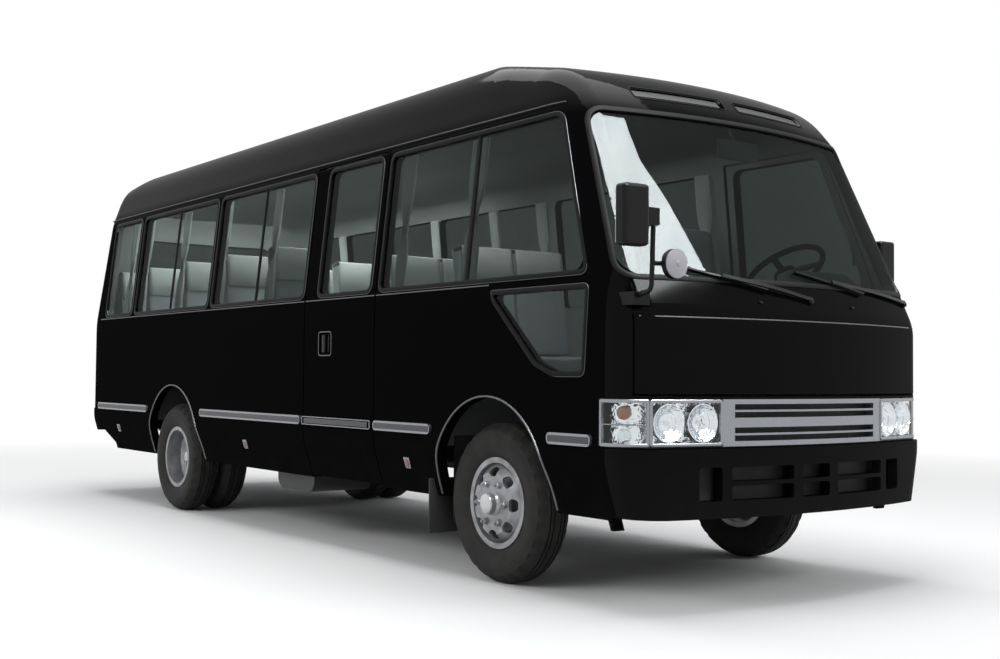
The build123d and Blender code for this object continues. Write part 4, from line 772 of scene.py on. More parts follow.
# %% arch lips
ARCH_Z, ARCH_FOOT, LIP_OUT = 0.436, 0.40, 0.006
FRONT_ARCH, REAR_ARCH = ("front", ahead(0.042), 0.460), ("rear", REAR_AXLE + 0.055, 0.468)
for side, (where, centre, radius) in ((RIGHT, FRONT_ARCH), (RIGHT, REAR_ARCH), (LEFT, REAR_ARCH)):
    reach, label = radius + LIP_OUT, LABEL[side]
    arc = [(centre + reach * math.cos(math.radians(d)), ARCH_Z + reach * math.sin(math.radians(d)))
           for d in range(0, 181, 5)]
    arc = [(centre + reach, ARCH_FOOT), *arc, (centre - reach, ARCH_FOOT)]
    trim(f"arch_lip_{where}_{label}", on_side(side, arc, (f"side_wall_{label}",)),
         bead(0.010, 0.006), lip_metal, "body", "silver_plastic")
    print(where, label, "lip reaches up to", round(ARCH_Z + reach, 3))

# %% [markdown]
# A tyre's tread is cut into ribs and blocks. Cutting a solid ring would leave a ragged mesh, so the
# ring is turned from a profile that already has the long grooves, and every few steps round it the
# blocks' points drop towards the axle, which leaves the cross grooves.

# %% tyres with tread
TREAD_STEPS, SHOULDER_DROP, RIB_DROP = 168, 0.008, 0.005


def tyre_profile():
    """(across, radius, block) round half a tyre section, mirrored to both sides."""
    wall = [(0.066, 0.205, 0), (0.070, 0.2235, 0), (0.079, 0.236, 0), (0.083, 0.243, 0),
            (0.0895, 0.262, 0), (0.0950, 0.285, 0), (0.0970, 0.300, 0), (0.0965, 0.318, 0),
            (0.0935, 0.335, 0), (0.0900, 0.348, 0), (0.0880, 0.352, 1), (0.0800, 0.362, 1),
            (0.0690, 0.3705, 1), (0.0560, 0.3790, 1), (0.0490, 0.3825, 1), (0.0460, 0.3835, 0)]
    ribs = [(0.0455, 0.3730, 0), (0.0375, 0.3730, 0), (0.0370, 0.3850, 2), (0.0240, 0.3856, 2),
            (0.0235, 0.3740, 0), (0.0165, 0.3740, 0), (0.0160, 0.3858, 2), (0.0000, 0.3860, 2)]
    half = wall + ribs
    return half + [(-a, r, b) for a, r, b in reversed(half[:-1])]


def tyre_ring(centre_x, centre_y):
    """A tyre round the Y axis at a place, with its cross grooves pressed in."""
    profile, points, faces = tyre_profile(), [], []
    count = len(profile)
    for step in range(TREAD_STEPS):
        angle = 2 * math.pi * step / TREAD_STEPS
        for across, radius, cut in profile:
            drop = SHOULDER_DROP if cut == 1 and step % 6 in (0, 1) else 0.0
            drop = RIB_DROP if cut == 2 and step % 12 == (3 if across > 0 else 9) else drop
            points.append((centre_x + (radius - drop) * math.sin(angle), centre_y + across,
                           AXLE_Z + (radius - drop) * math.cos(angle)))
    for step in range(TREAD_STEPS):
        near, far = step * count, (step + 1) % TREAD_STEPS * count
        for k in range(count):
            after = (k + 1) % count
            faces.append([near + k, near + after, far + after, far + k])
    return points, faces


wheel_sets = [
    ("front_left", "tyre_front_left", "wheel_front_left", FRONT_AXLE, [0.832]),
    ("front_right", "tyre_front_right", "wheel_front_right", FRONT_AXLE, [-0.832]),
    ("rear_left", "tyres_rear_left", "wheels_rear_left", REAR_AXLE, [0.630, 0.860]),
    ("rear_right", "tyres_rear_right", "wheels_rear_right", REAR_AXLE, [-0.630, -0.860]),
]
for label, node, body, axle, middles in wheel_sets:
    rings = Heap()
    for middle in middles:
        rings.put(tyre_ring(axle, middle))
    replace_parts(rings.piece(f"tread_{label}", tyre_rubber, body, "tyre"), node)
    print(label, "tyre faces", len(rings.faces))

# %% [markdown]
# Wheel nuts are six-sided, domed, and stand on washers in a ring round the hub. A profile turned in
# six steps gives the nut in one go. Front wheels carry a pale cap over the bearing, rear ones a
# flanged half shaft with its own small bolts.

# %% nuts and hubs
nut = turned([(0.021, 0.0), (0.021, 0.003), (0.0165, 0.003), (0.0165, 0.016), (0.013, 0.020),
              (0.008, 0.022), (0.008, 0.030), (0.004, 0.033)], 6)
small_bolt = turned([(0.010, 0.0), (0.010, 0.006), (0.007, 0.008)], 6)
hub_cap = turned([(0.060, 0.0), (0.058, 0.012), (0.052, 0.020), (0.050, 0.040), (0.046, 0.050),
                  (0.034, 0.056), (0.016, 0.058), (0.002, 0.058)], 48)
drive_flange = turned([(0.070, 0.0), (0.069, 0.012), (0.062, 0.018), (0.040, 0.022),
                       (0.036, 0.036), (0.020, 0.040), (0.002, 0.040)], 48)
NUT_RING, BOLT_RING = 0.103, 0.050
FRONT_NUTS_Y, FRONT_CAP_Y = 0.930, 0.925
REAR_NUTS_Y, REAR_BOLTS_Y, REAR_FLANGE_Y = 0.762, 0.860, 0.832


def round_axle(heap, shape, axle, across, count=1, ring=0.0, start=0):
    """Put copies of a shape in a ring round an axle, all facing away from the bus."""
    for k in range(count):
        angle = math.radians(360 / count * k + start)
        heap.put(shape, place(axle + ring * math.sin(angle), across,
                              AXLE_Z + ring * math.cos(angle), turn_x=math.copysign(90, -across)))


for label, _, body, axle, middles in wheel_sets:
    side = LEFT if middles[0] > 0 else RIGHT
    nuts, cap = Heap(), Heap()
    if "front" in label:
        round_axle(nuts, nut, axle, side * FRONT_NUTS_Y, 6, NUT_RING, 30)
        round_axle(cap, hub_cap, axle, side * FRONT_CAP_Y)
    else:
        round_axle(nuts, nut, axle, side * REAR_NUTS_Y, 6, NUT_RING, 30)
        round_axle(nuts, small_bolt, axle, side * REAR_BOLTS_Y, 8, BOLT_RING)
        round_axle(cap, drive_flange, axle, side * REAR_FLANGE_Y)
    nuts.piece(f"wheel_nuts_{label}", wheel_steel, body, "rim_steel")
    cap.piece(f"hub_{label}", hub_paint, body, "rim_steel")
    print(label, "nuts and bolts", len(nuts.faces), "faces")

# %% [markdown]
# A seat pad is foam under tight cloth: crowned, softly edged, and pulled in along its seams. A
# cloth simulation could inflate one, but a finely divided block that is moved by formula is sooner
# made and never fails: its faces swell between the corners, its sides draw in, and sewn channels
# press lines into it.

# %% pads
def pad(length, width, height, crown, channels=(), pull=0.05, cuts=15):
    """A stuffed block round its middle: length along x, width along y, height along z."""
    solid = bmesh.new()
    bmesh.ops.create_cube(solid, size=2.0)
    bmesh.ops.subdivide_edges(solid, edges=solid.edges[:], cuts=cuts, use_grid_fill=True)
    for v in solid.verts:
        x, y, z = v.co
        swell_x, swell_y, swell_z = (max(0.0, 1 - c * c) for c in (x, y, z))
        edge = max(0.0, abs(x) ** 6 + abs(y) ** 6 + abs(z) ** 6 - 1) * 0.045
        side_in = 1 - pull * swell_x * swell_z * (abs(y) > 0.99) * 0.6
        end_in = 1 - pull * swell_y * swell_z * (abs(x) > 0.99) * 0.4
        rise = crown * (swell_x * swell_y) ** 0.5 * (1 if z > 0.99 else 0.25 * (z < -0.99))
        groove = sum(math.exp(-((x - c) / 0.035) ** 2) for c in channels) if z > 0.5 else 0
        piping = math.exp(-((abs(y) - 0.80) / 0.04) ** 2) if z > 0.9 else 0
        v.co = Vector((x * length / 2 * (1 - edge) * end_in, y * width / 2 * (1 - edge) * side_in,
                       z * height / 2 * (1 - edge * 1.6) + math.copysign(rise, z)
                       - (groove * 0.009 + piping * 0.005) * (abs(x) < 0.93) * (abs(y) < 0.95)))
    solid.verts.index_update()
    shape = [v.co.copy() for v in solid.verts], [[v.index for v in f.verts] for f in solid.faces]
    solid.free()
    return shape


print("points of a plain pad", len(pad(0.4, 0.4, 0.1, 0.01)[0]))

# %% [markdown]
# The seats stand in six rows on the frame's own steel. Cushions make one piece and back rests
# another, because they all ride on the body and none moves alone.

# %% seats
SEAT_ROWS = [(-1.70, (0.230, 0.655)), (-2.56, (-0.655, 0.230, 0.655)),
             (-3.30, (-0.655, 0.230, 0.655)), (-4.04, (-0.655, 0.230, 0.655)),
             (-4.78, (-0.655, 0.230, 0.655)), (-5.40, (-0.655, -0.215, 0.215, 0.655))]
SEAT_TOP, CUSHION_DROP, BACK_RISE = 1.120, 0.056, 0.350
CUSHION_AHEAD, BACK_AHEAD = 0.332, 0.004
DRIVER_X, DRIVER_Y, DRIVER_CUSHION_Z, DRIVER_BACK_Z = ahead(-0.330), 0.690, 1.119, 1.525
RAKE = math.degrees(math.atan2(0.11, 0.70))
places = [(ahead(row), y) for row, middles in SEAT_ROWS for y in middles]


def seated(x, y, cushion_z, back_z):
    """The moves of a cushion and of a back rest, which leans back by RAKE."""
    back = place(x + BACK_AHEAD, y, back_z, turn_y=-90 - RAKE) @ place(0, 0, 0, 180)
    return place(x + CUSHION_AHEAD, y, cushion_z), back


cushion = pad(0.450, 0.412, 0.100, 0.010, (-0.45, 0.0, 0.45))
back_rest = pad(0.690, 0.412, 0.092, 0.009, (-0.5, -0.2, 0.1, 0.4))
cushions, backs, driver = Heap(), Heap(), Heap()
for x, y in places:
    below, behind = seated(x, y, SEAT_TOP - CUSHION_DROP, SEAT_TOP + BACK_RISE)
    cushions.put(cushion, below)
    backs.put(back_rest, behind)
below, behind = seated(DRIVER_X, DRIVER_Y, DRIVER_CUSHION_Z, DRIVER_BACK_Z)
driver.put(pad(0.46, 0.43, 0.102, 0.010, (-0.5, 0.5)), below)
driver.put(pad(0.69, 0.43, 0.094, 0.009, (-0.4, 0.2)), behind)
cushions.piece("seat_cushions", seat_cloth, "body", "seat_fabric")
for heap, name, node in ((backs, "seat_backs", "passenger_seats"),
                         (driver, "driver_seat_pads", "driver_seat")):
    made = heap.piece(name, seat_cloth, "body", "seat_fabric")
    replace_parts(made, node)
print(len(places), "passenger seats,", len(cushions.faces) + len(backs.faces), "faces")

# %% [markdown]
# Pale covers hang over the tops of the seats, front and back, a few millimetres off the cloth. Each
# is one strip of cloth folded over a half round, with a faint wave across it, and gets its
# thickness from a modifier.

# %% head covers
COVER_DROPS, COVER_DEPTH, COVER_COLUMNS = (0.21, 0.16), 0.114, 14


def cover_shape(width):
    """A cloth folded over the top of a seat back: x forward, z up, its fold at the top."""
    half = COVER_DEPTH / 2
    fold = [math.pi * k / 10 for k in range(11)]
    path = [(half, -COVER_DROPS[0]), *((half * math.cos(a), 0.02 * math.sin(a)) for a in fold),
            (-half, -COVER_DROPS[1])]
    points, faces = [], []
    for k in range(COVER_COLUMNS + 1):
        y = (k / COVER_COLUMNS - 0.5) * width
        wave = 0.0015 * math.sin(k * 2.1)
        points += [(x + math.copysign(wave, x), y, z) for x, z in path]
    for k in range(COVER_COLUMNS):
        for j in range(len(path) - 1):
            base = k * len(path) + j
            faces.append([base, base + 1, base + 1 + len(path), base + len(path)])
    return points, faces


for index, (x, y) in enumerate(places):
    cover = Heap().put(cover_shape(0.390), place(x - 0.0475, y, SEAT_TOP + 0.690, turn_y=-RAKE))
    made = cover.piece(f"head_cover_{index}", cover_cloth, "body", "curtain_fabric", sheet=0.0015)
print(len(places), "head covers")

# %% [markdown]
# Curtains are gathered into narrow falls beside the pillars and drawn in by a band at half height.
# They could be simulated from flat cloth. A formula is steadier: one sheet is a grid whose width
# shrinks towards the band while its pleats stay, so the cloth keeps nearly its flat size.

# %% the shape of a curtain
CURTAIN_TOP, CURTAIN_DROP, TIE_AT, WALL_GAP = WINDOW_TOP, 0.73, 0.55, 0.0135
PLEATS, CURTAIN_ROWS, CURTAIN_COLUMNS = 7, 34, 56


def wall_inside(z):
    """How far out the lining of the leaning side wall stands at a height."""
    lean = (1.005 - 0.912) / (2.255 - 1.400)
    return 1.005 - 0.055 * math.sqrt(1 + lean ** 2) - lean * (z - 1.400)


def curtain_shape(x, side, phase, wide):
    """A gathered fall at x, its pleats started at a phase and its width grown by a factor."""
    points, faces = [], []
    for i in range(CURTAIN_ROWS + 1):
        t = i / CURTAIN_ROWS
        z = CURTAIN_TOP - CURTAIN_DROP * t
        waist = math.exp(-((t - TIE_AT) / 0.13) ** 2)
        half = 0.053 * wide * (1 - 0.62 * waist) * (0.93 + 0.07 * math.sin(3 * t + phase))
        depth = 0.0092 * (1 - 0.25 * waist)
        for k in range(CURTAIN_COLUMNS + 1):
            s = k / CURTAIN_COLUMNS
            swing = math.sin(2 * math.pi * PLEATS * s + phase + 0.5 * math.sin(4 * t + phase))
            y = wall_inside(z) - WALL_GAP + depth * swing * 0.98
            points.append((x + (2 * s - 1) * half, side * y, z))
    for i in range(CURTAIN_ROWS):
        for k in range(CURTAIN_COLUMNS):
            base = i * (CURTAIN_COLUMNS + 1) + k
            faces.append([base, base + 1, base + CURTAIN_COLUMNS + 2, base + CURTAIN_COLUMNS + 1])
    return points, faces


print("wall at the tie", round(wall_inside(CURTAIN_TOP - CURTAIN_DROP * TIE_AT), 3))

# %% [markdown]
# Curtains hang at the pillars of both sides, and the foremost are a little wider. Every curtain is
# a sheet of its own, and a seeded random number starts its pleats, so no two look alike.

# %% curtains
CURTAINS = [(x, side, 1.0) for x in (-5.050, -4.722, -3.990, -3.260, -2.480, -1.925)
            for side in (RIGHT, LEFT)]
CURTAINS += [(-0.885, RIGHT, 1.0), (-0.230, RIGHT, 1.25), (-1.040, LEFT, 1.0), (-0.370, LEFT, 1.2)]
TIE_Z = CURTAIN_TOP - CURTAIN_DROP * TIE_AT
TIE_BAND = [(-0.001, -0.014), (0.001, -0.014), (0.001, 0.014), (-0.001, 0.014)]
random.seed(4)
ties = Heap()
for index, (x, side, wide) in enumerate(CURTAINS):
    label = LABEL[side]
    made = Heap().put(curtain_shape(ahead(x), side, random.uniform(0, 6), wide)).piece(
        f"curtain_{label}_{abs(round(x * 1000))}", curtain_cloth, "body", "curtain_fabric",
        sheet=0.0012)
    if index == 0:
        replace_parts(made, "curtains")
    middle = wall_inside(TIE_Z) - WALL_GAP
    ring = [(ahead(x) + 0.024 * wide * math.cos(a), side * (middle + 0.0122 * math.sin(a)), TIE_Z)
            for a in [2 * math.pi * k / 20 for k in range(20)]]
    ties.put(swept([(Vector(p), Vector((0, 0, 1))) for p in ring], TIE_BAND, True))
ties.piece("curtain_ties", cover_cloth, "body", "curtain_fabric")
print(len(CURTAINS), "curtains")

# %% [markdown]
# A head lamp is a clear moulding over bright bowls. The lens is in the frame; behind its face go
# two bowls a side with their bulbs, and two small bulbs round the corner. Bowls and bulbs are
# turned profiles, and a ray finds the lens so that each stands just behind it.

# %% lamp bowls and bulbs
LAMP_LOW, LAMP_MIDDLE, LAMP_TOP, LENS = 0.705, 0.806, 0.908, ("front_lamps",)
BOWL_YS, BOWL_SINK = (0.625, 0.790), Vector((0.012, 0, 0))
CORNER_X, AMBER_Z, CLEAR_Z, BULB_SINK = ahead(0.985), 0.850, 0.752, 0.05
bowl = turned([(0.008, -0.044), (0.030, -0.036), (0.046, -0.024), (0.046, -0.020),
               (0.058, -0.013), (0.070, 0.0), (0.074, 0.0), (0.061, -0.016), (0.048, -0.028),
               (0.032, -0.040), (0.008, -0.046)], 40)
bulb = turned([(0.010, -0.036), (0.011, -0.020), (0.008, -0.011), (0.001, -0.008)], 20)
small_bulb = turned([(0.012, 0.0), (0.017, 0.012), (0.016, 0.028), (0.009, 0.038),
                     (0.001, 0.041)], 24)
bowls, bulbs, ambers = Heap(), Heap(), Heap()
for side in LABEL:
    for y in BOWL_YS:
        (spot, _), = on_front([(side * y, LAMP_MIDDLE)], LENS)
        move = stand(spot - BOWL_SINK, (1, side * 0.12, 0))
        bowls.put(bowl, move @ Matrix.Diagonal((1.12, 1.12, 1, 1)))
        bulbs.put(bulb, move)
    for heap, z in ((ambers, AMBER_Z), (bulbs, CLEAR_Z)):
        (spot, out), = on_side(side, [(CORNER_X, z)], LENS)
        move = stand(spot - out * BULB_SINK, out)
        heap.put(small_bulb, move @ Matrix.Diagonal((1.8, 1.8, 1.1, 1)))
bowls.piece("lamp_bowls", lamp_chrome, "body", "silver_plastic")
bulbs.piece("lamp_bulbs", lens_clear, "body", "lamp")
ambers.piece("corner_bulbs", bulb_glass, "body", "lamp")
print("bowls", len(bowls.faces), "faces")

# %% [markdown]
# Behind the bowls a bright housing wraps round the corner of the bus, and silver bars frame the
# lens, part its corner from its front and cross the corner at half height. All of them follow the
# curved lens, so all are sections swept along points on it.

# %% lamp housings and surrounds
HOUSING_YS, HOUSING_XS = (0.545, 0.62, 0.70, 0.78, 0.84, 0.882, 0.93, 0.962), (0.97, 0.885)
CORNER_YS, CORNER_XS = (0.897, 0.92, 0.945, 0.965), (0.99, 0.95, 0.91, 0.878)
BAR, THIN_BAR, POST = (bead(width, 0.004, 0.010) for width in (0.014, 0.006, 0.012))
BAR_INNER, BAR_OUTER, BAR_LOW, BAR_TOP = 0.541, 0.884, LAMP_LOW + 0.009, LAMP_TOP - 0.009
POST_LOW, POST_TOP, CROSS_Z, HOUSING_SINK = LAMP_LOW + 0.006, LAMP_TOP - 0.006, 0.800, 0.048
housings, surrounds = Heap(), Heap()
for side in LABEL:
    rail = on_front([(side * y, LAMP_MIDDLE) for y in HOUSING_YS], LENS)
    rail += on_side(side, [(ahead(x), LAMP_MIDDLE) for x in HOUSING_XS], LENS)
    housings.put(swept([(p - n * HOUSING_SINK, n) for p, n in rail], strap(0.196, 0.002)))
    outline = corners(side * BAR_INNER, side * BAR_OUTER, BAR_LOW, BAR_TOP)
    surrounds.put(swept(on_front(loop(outline, 0.012, 0.05), LENS), BAR, True))
    for z, section in ((BAR_TOP, BAR), (BAR_LOW, BAR), (CROSS_Z, THIN_BAR)):
        rail = on_front([(side * y, z) for y in CORNER_YS], LENS)
        rail += on_side(side, [(ahead(x), z) for x in CORNER_XS], LENS)
        surrounds.put(swept(rail, section))
    x, y = ahead(CORNER_XS[-1]), side * CORNER_YS[0]
    surrounds.put(swept(on_side(side, line((x, POST_LOW), (x, POST_TOP)), LENS), BAR))
    surrounds.put(swept(on_front(line((y, POST_LOW), (y, POST_TOP)), LENS), POST))
housings.piece("lamp_housings", lamp_chrome, "body", "silver_plastic")
surrounds.piece("lamp_surrounds", silver, "body", "silver_plastic")
print("surrounds", len(surrounds.faces), "faces")

# %% [markdown]
# The grille and the bumper's intake are real slots in the frame, and daylight would shine through
# them. Ducts keep it out: two straps that follow the curved front, five centimetres and more
# behind it, coloured near black as painted shade for the dark inside of the slots.

# %% ducts
GRILLE_YS, GRILLE_LOW, GRILLE_MIDDLE = (-0.525, -0.35, -0.18, 0.0, 0.18, 0.35, 0.525), 0.714, 0.8065
INTAKE_YS, INTAKE_Z = (-0.70, -0.5, -0.3, -0.1, 0.1, 0.3, 0.5, 0.70), 0.545
FORWARD, GRILLE_SINK, INTAKE_SINK, NOSE_BEND = Vector((1, 0, 0)), 0.050, 0.075, 0.15
grille_rail = [(Vector((p.x - GRILLE_SINK, p.y, GRILLE_MIDDLE)), FORWARD)
               for p, _ in on_front([(y, GRILLE_LOW) for y in GRILLE_YS], ("grille",))]
intake_rail = [(Vector((cad_high[0] - INTAKE_SINK - y * y * NOSE_BEND, y, INTAKE_Z)), FORWARD)
               for y in INTAKE_YS]
# Both straps are painted shade: near black, for the dark inside of the grille and the intake.
duct = Heap().put(swept(grille_rail, strap(0.192, 0.002)))
duct.put(swept(intake_rail, strap(0.170, 0.002)))
duct.piece("shade_ducts", painted_shade, "body", "black_plastic")
print("ducts", len(duct.faces), "faces")

# %% [markdown]
# Over the windscreen two air slots are cut into the brow. Dark paint alone would still shine, so
# each slot gets a floor of painted shade, a thin near-black matt strap laid in it by ray, and a
# fine rim round it.

# %% brow slots
SLOT_INNER, SLOT_OUTER, SLOT_LOW, SLOT_TOP = 0.041, 0.584, 2.296, 2.358
floors, rims = Heap(), Heap()
for side in LABEL:
    middles = [(side * (0.055 + 0.0515 * k), (SLOT_LOW + SLOT_TOP) / 2) for k in range(11)]
    # The slot floors are painted shade: near-black matt straps for the dark inside of the slots.
    floors.put(swept(on_front(middles, ("front_shell",)), strap(0.044, 0.001)))
    outline = loop(corners(side * SLOT_INNER, side * SLOT_OUTER, SLOT_LOW, SLOT_TOP), 0.02, 0.04)
    rims.put(swept(on_front(outline, ("front_shell",)), bead(0.006, 0.003), True))
floors.piece("brow_slot_shade_floors", painted_shade, "body", "black_plastic")
rims.piece("brow_slot_rims", seal, "body", "black_plastic")
print("slot rims", len(rims.faces), "faces")

# %% [markdown]
# Wipers are two bent arms with long blades. A straight blade would sink into the curved windscreen,
# so its rail is found on the glass by ray and lifted by the blade's own height.

# %% wipers
BLADE = [(-0.004, -0.011), (-0.0015, 0.0), (-0.006, 0.004), (-0.004, 0.012),
         (0.004, 0.012), (0.006, 0.004), (0.0015, 0.0), (0.004, -0.011)]
ARM = [(-0.009, -0.004), (-0.009, 0.004), (0.009, 0.004), (0.009, -0.004)]
pivot_cap = turned([(0.018, -0.01), (0.018, 0.012), (0.012, 0.018), (0.002, 0.019)], 24)
wipers = Heap()
for pivot, inner, outer in (((0.02, 1.352), (-0.69, 1.476), (-0.25, 1.385)),
                            ((0.889, 1.378), (-0.02, 1.479), (0.45, 1.40))):
    (spot, out), = on_front([pivot], ("front_shell",))
    wipers.put(pivot_cap, stand(spot, out))
    blade = [(p + n * 0.012, n) for p, n in
             on_front(line(outer, inner, 0.04), ("windshield", "front_shell"))]
    wipers.put(swept(blade, BLADE))
    middle, away = blade[len(blade) // 2]
    arm = [spot + out * 0.016, spot.lerp(middle, 0.45) + out * 0.030, middle + away * 0.016]
    wipers.put(swept([(p, out) for p in curve(arm, 0.15)], ARM))
wipers.piece("wipers", black_plastic, "body", "black_plastic")
print("wipers", len(wipers.faces), "faces")

# %% [markdown]
# The mirrors' heads are dark mouldings in the frame, with their glass set in the rear face. A thin
# block with fine edges is enough for a flat glass, and the round one is turned with a slight dome.
# The driver's glass rides on the driver's door, as its mirror does.

# %% mirror glasses
ROAD_MIRROR, DRIVER_MIRROR = (3.440, -1.072, 1.660), (3.040, 1.082, 1.620)
ROUND_MIRROR, ROUND_HALF = (3.465, -0.860, 1.470), 0.0125


def moved(spot, forward):
    """A place moved along the bus."""
    return spot[0] + forward, spot[1], spot[2]


pale_shell = coated("pale_mirror_back", (0.50, 0.49, 0.53), 0.35, spread=0.1)
round_glass = turned([(0.058, 0.0), (0.057, 0.004), (0.040, 0.007), (0.002, 0.009)], 48)
round_back = turned([(0.061, 0.0), (0.060, 0.005), (0.044, 0.010), (0.013, 0.014), (0.011, 0.017),
                     (0.002, 0.018)], 48)
Heap().put(block(0.004, 0.098, 0.196, 0.0015), place(*moved(DRIVER_MIRROR, -0.0315))).piece(
    "driver_mirror_glass", mirror_face, "driver_door", "glass")
Heap().put(round_back, place(*moved(ROUND_MIRROR, ROUND_HALF), turn_y=90)).piece(
    "round_mirror_back", pale_shell, "body", "silver_plastic")
glasses = Heap().put(block(0.004, 0.116, 0.228, 0.0015), place(*moved(ROAD_MIRROR, -0.0365)))
glasses.put(round_glass, place(*moved(ROUND_MIRROR, -ROUND_HALF), turn_y=-90))
glasses.piece("mirror_glasses", mirror_face, "body", "glass")
print("mirror glasses", len(glasses.faces), "faces")

# %% [markdown]
# Rubber flaps hang behind the front wheels, and three small marker lamps sit low on each side. A
# marker is two rounded blocks, one in the other, stood on the skin by its own direction.

# %% flaps and side markers
MARKER_SPOTS = ((-5.011, 0.557), (-2.673, 0.541), (-0.694, 0.541))
FLAP_X, FLAP_Y, FLAP_Z = ahead(-0.478), 0.870, 0.335
flaps, markers, marker_frames = Heap(), Heap(), Heap()
for side, label in LABEL.items():
    flaps.put(block(0.010, 0.230, 0.280, 0.003), place(FLAP_X, side * FLAP_Y, FLAP_Z))
    marker_rail = [(ahead(x), z) for x, z in MARKER_SPOTS]
    for spot, out in on_side(side, marker_rail, (f"side_wall_{label}",)):
        marker_frames.put(block(0.052, 0.062, 0.012, 0.004), stand(spot, out))
        markers.put(block(0.036, 0.044, 0.012, 0.004), stand(spot, out) @ place(0, 0, 0.004))
marker_lens = coated("marker_lens", (0.30, 0.17, 0.12), 0.2)
flaps.piece("front_flaps", flap_rubber, "body", "rubber")
marker_frames.piece("marker_frames", silver, "body", "silver_plastic")
markers.piece("marker_lenses", marker_lens, "body", "lamp")
print(2 * len(MARKER_SPOTS), "side markers")

# %% [markdown]
# The passenger door is opened by a flap in a cup, the driver's by a pull handle. The cup is in the
# frame; a flap in two parts, a bright edge round the cup and the pull are laid on the doors' skin.

# %% door handles
(spot, _), = on_side(RIGHT, [(ahead(-1.572), 1.177)], ("passenger_door",))
handle = Heap()
handle.put(block(0.040, 0.012, 0.104, 0.004), place(spot.x - 0.022, spot.y - 0.007, spot.z))
handle.put(block(0.012, 0.008, 0.100, 0.003), place(spot.x + 0.030, spot.y - 0.004, spot.z))
handle.piece("door_handle", black_plastic, "passenger_door", "black_plastic")
outline = loop(corners(ahead(-1.648), ahead(-1.497), 1.108, 1.245), 0.022, 0.03)
trim("handle_cup_edge", on_side(RIGHT, outline, ("passenger_door",)), bead(0.006, 0.002),
     lip_metal, "passenger_door", "silver_plastic", True)
(spot, _), = on_side(LEFT, [(ahead(-0.08), 1.18)], ("driver_door",))
pull = Heap().put(block(0.150, 0.010, 0.046, 0.005), place(spot.x, spot.y + 0.003, spot.z))
pull.put(block(0.130, 0.010, 0.020, 0.004), place(spot.x, spot.y + 0.010, spot.z + 0.008))
pull.piece("driver_handle", black_plastic, "driver_door", "black_plastic")
print("driver's handle at", [round(v, 3) for v in spot])

# %% [markdown]
# Two washer jets stand under the windscreen. Inside, the rear-view mirror hangs on a bent stalk and
# a grab handle stands on the driver's side. Stalk and handle are round bars along a path, which
# bends where a turned shape can't.

# %% jets, inside mirror and grab handle
JET_YS, JET_Z, STALK_Y = (-0.30, 0.33), 1.335, 0.024
jets = Heap()
for spot, _ in on_front([(y, JET_Z) for y in JET_YS], ("front_shell",)):
    jets.put(block(0.018, 0.022, 0.012, 0.003), Matrix.Translation(spot))
jets.piece("washer_jets", black_plastic, "body", "black_plastic")
inside_mirror = Heap().put(block(0.030, 0.270, 0.095, 0.012), place(2.985, STALK_Y, 2.105))
inside_mirror.put(tube([(2.975, STALK_Y, 2.14), (2.940, STALK_Y, 2.20), (2.905, STALK_Y, 2.30)],
                       0.008))
mirror_shell = coated("mirror_shell", (0.8, 0.82, 0.82), 0.4)
inside_mirror.piece("inside_mirror", mirror_shell, "body", "trim_plastic")
grab = curve([(3.02, 0.86, 1.60), (3.07, 0.80, 1.64), (3.02, 0.79, 1.78), (2.93, 0.84, 1.82)],
             0.04)
grab_grip = coated("grab_grip", (0.5, 0.53, 0.5), 0.5)
Heap().put(tube(grab, 0.010)).piece("grab_handle", grab_grip, "body", "trim_plastic")
print("grab handle path of", len(grab), "points")

# %% [markdown]
# At the rear: a blank plate over the bumper and a handle on the lid, both rounded blocks that ride
# on it, and dark surrounds for the lamps, swept like the window seals.

# %% rear fittings
for name, z, size, edge, finish, slot in (
        ("rear_plate", 1.02, (0.006, 0.44, 0.14), 0.002, white_board, "trim_plastic"),
        ("gate_handle", 1.30, (0.020, 0.30, 0.045), 0.006, black_plastic, "black_plastic")):
    (spot, _), = on_rear([(0.0, z)], ("tailgate",))
    Heap().put(block(*size, edge), place(spot.x - 0.006, 0, z)).piece(name, finish, "tailgate",
                                                                      slot)
TAIL_INNER, TAIL_OUTER, TAIL_LOW, TAIL_TOP = 0.722, 0.898, 0.807, 1.203
lamp_edges = Heap()
for side in LABEL:
    outline = loop(corners(side * TAIL_INNER, side * TAIL_OUTER, TAIL_LOW, TAIL_TOP), 0.02, 0.05)
    lamp_edges.put(swept(on_rear(outline, ("tail_lamps",)), bead(0.012, 0.004, 0.008), True))
lamp_edges.piece("rear_lamp_edges", seal, "body", "rubber")
print("lamp edges", len(lamp_edges.faces), "faces")

# %% [markdown]
# The dash gets a dark cluster of instruments, leant towards the driver, and four round air outlets,
# turned with a dished face.

# %% dash details
outlet = turned([(0.040, 0.0), (0.040, 0.006), (0.030, 0.006), (0.028, -0.006), (0.002, -0.006)],
                32)
CLUSTER_PLACE, CLUSTER_LEAN = (2.995, 0.510, 1.470), -20
OUTLET_X, OUTLET_YS, OUTLET_Z = 2.952, (-0.70, -0.45, 0.05, 0.82), 1.270
cluster = Heap().put(block(0.012, 0.36, 0.085, 0.006), place(*CLUSTER_PLACE, turn_y=CLUSTER_LEAN))
for y in OUTLET_YS:
    cluster.put(outlet, place(OUTLET_X, y, OUTLET_Z, turn_y=-90))
cluster.piece("dash_cluster", black_plastic, "body", "black_plastic")
print("cluster and outlets", len(cluster.faces), "faces")

# %% [markdown]
# The bus stands on a pale floor that has to end in pure white without a horizon. Its colour fades
# out with distance from the middle while an emission fades in, but only for rays that the camera,
# a reflection or a pane sees, so that the floor doesn't light the paint from below.

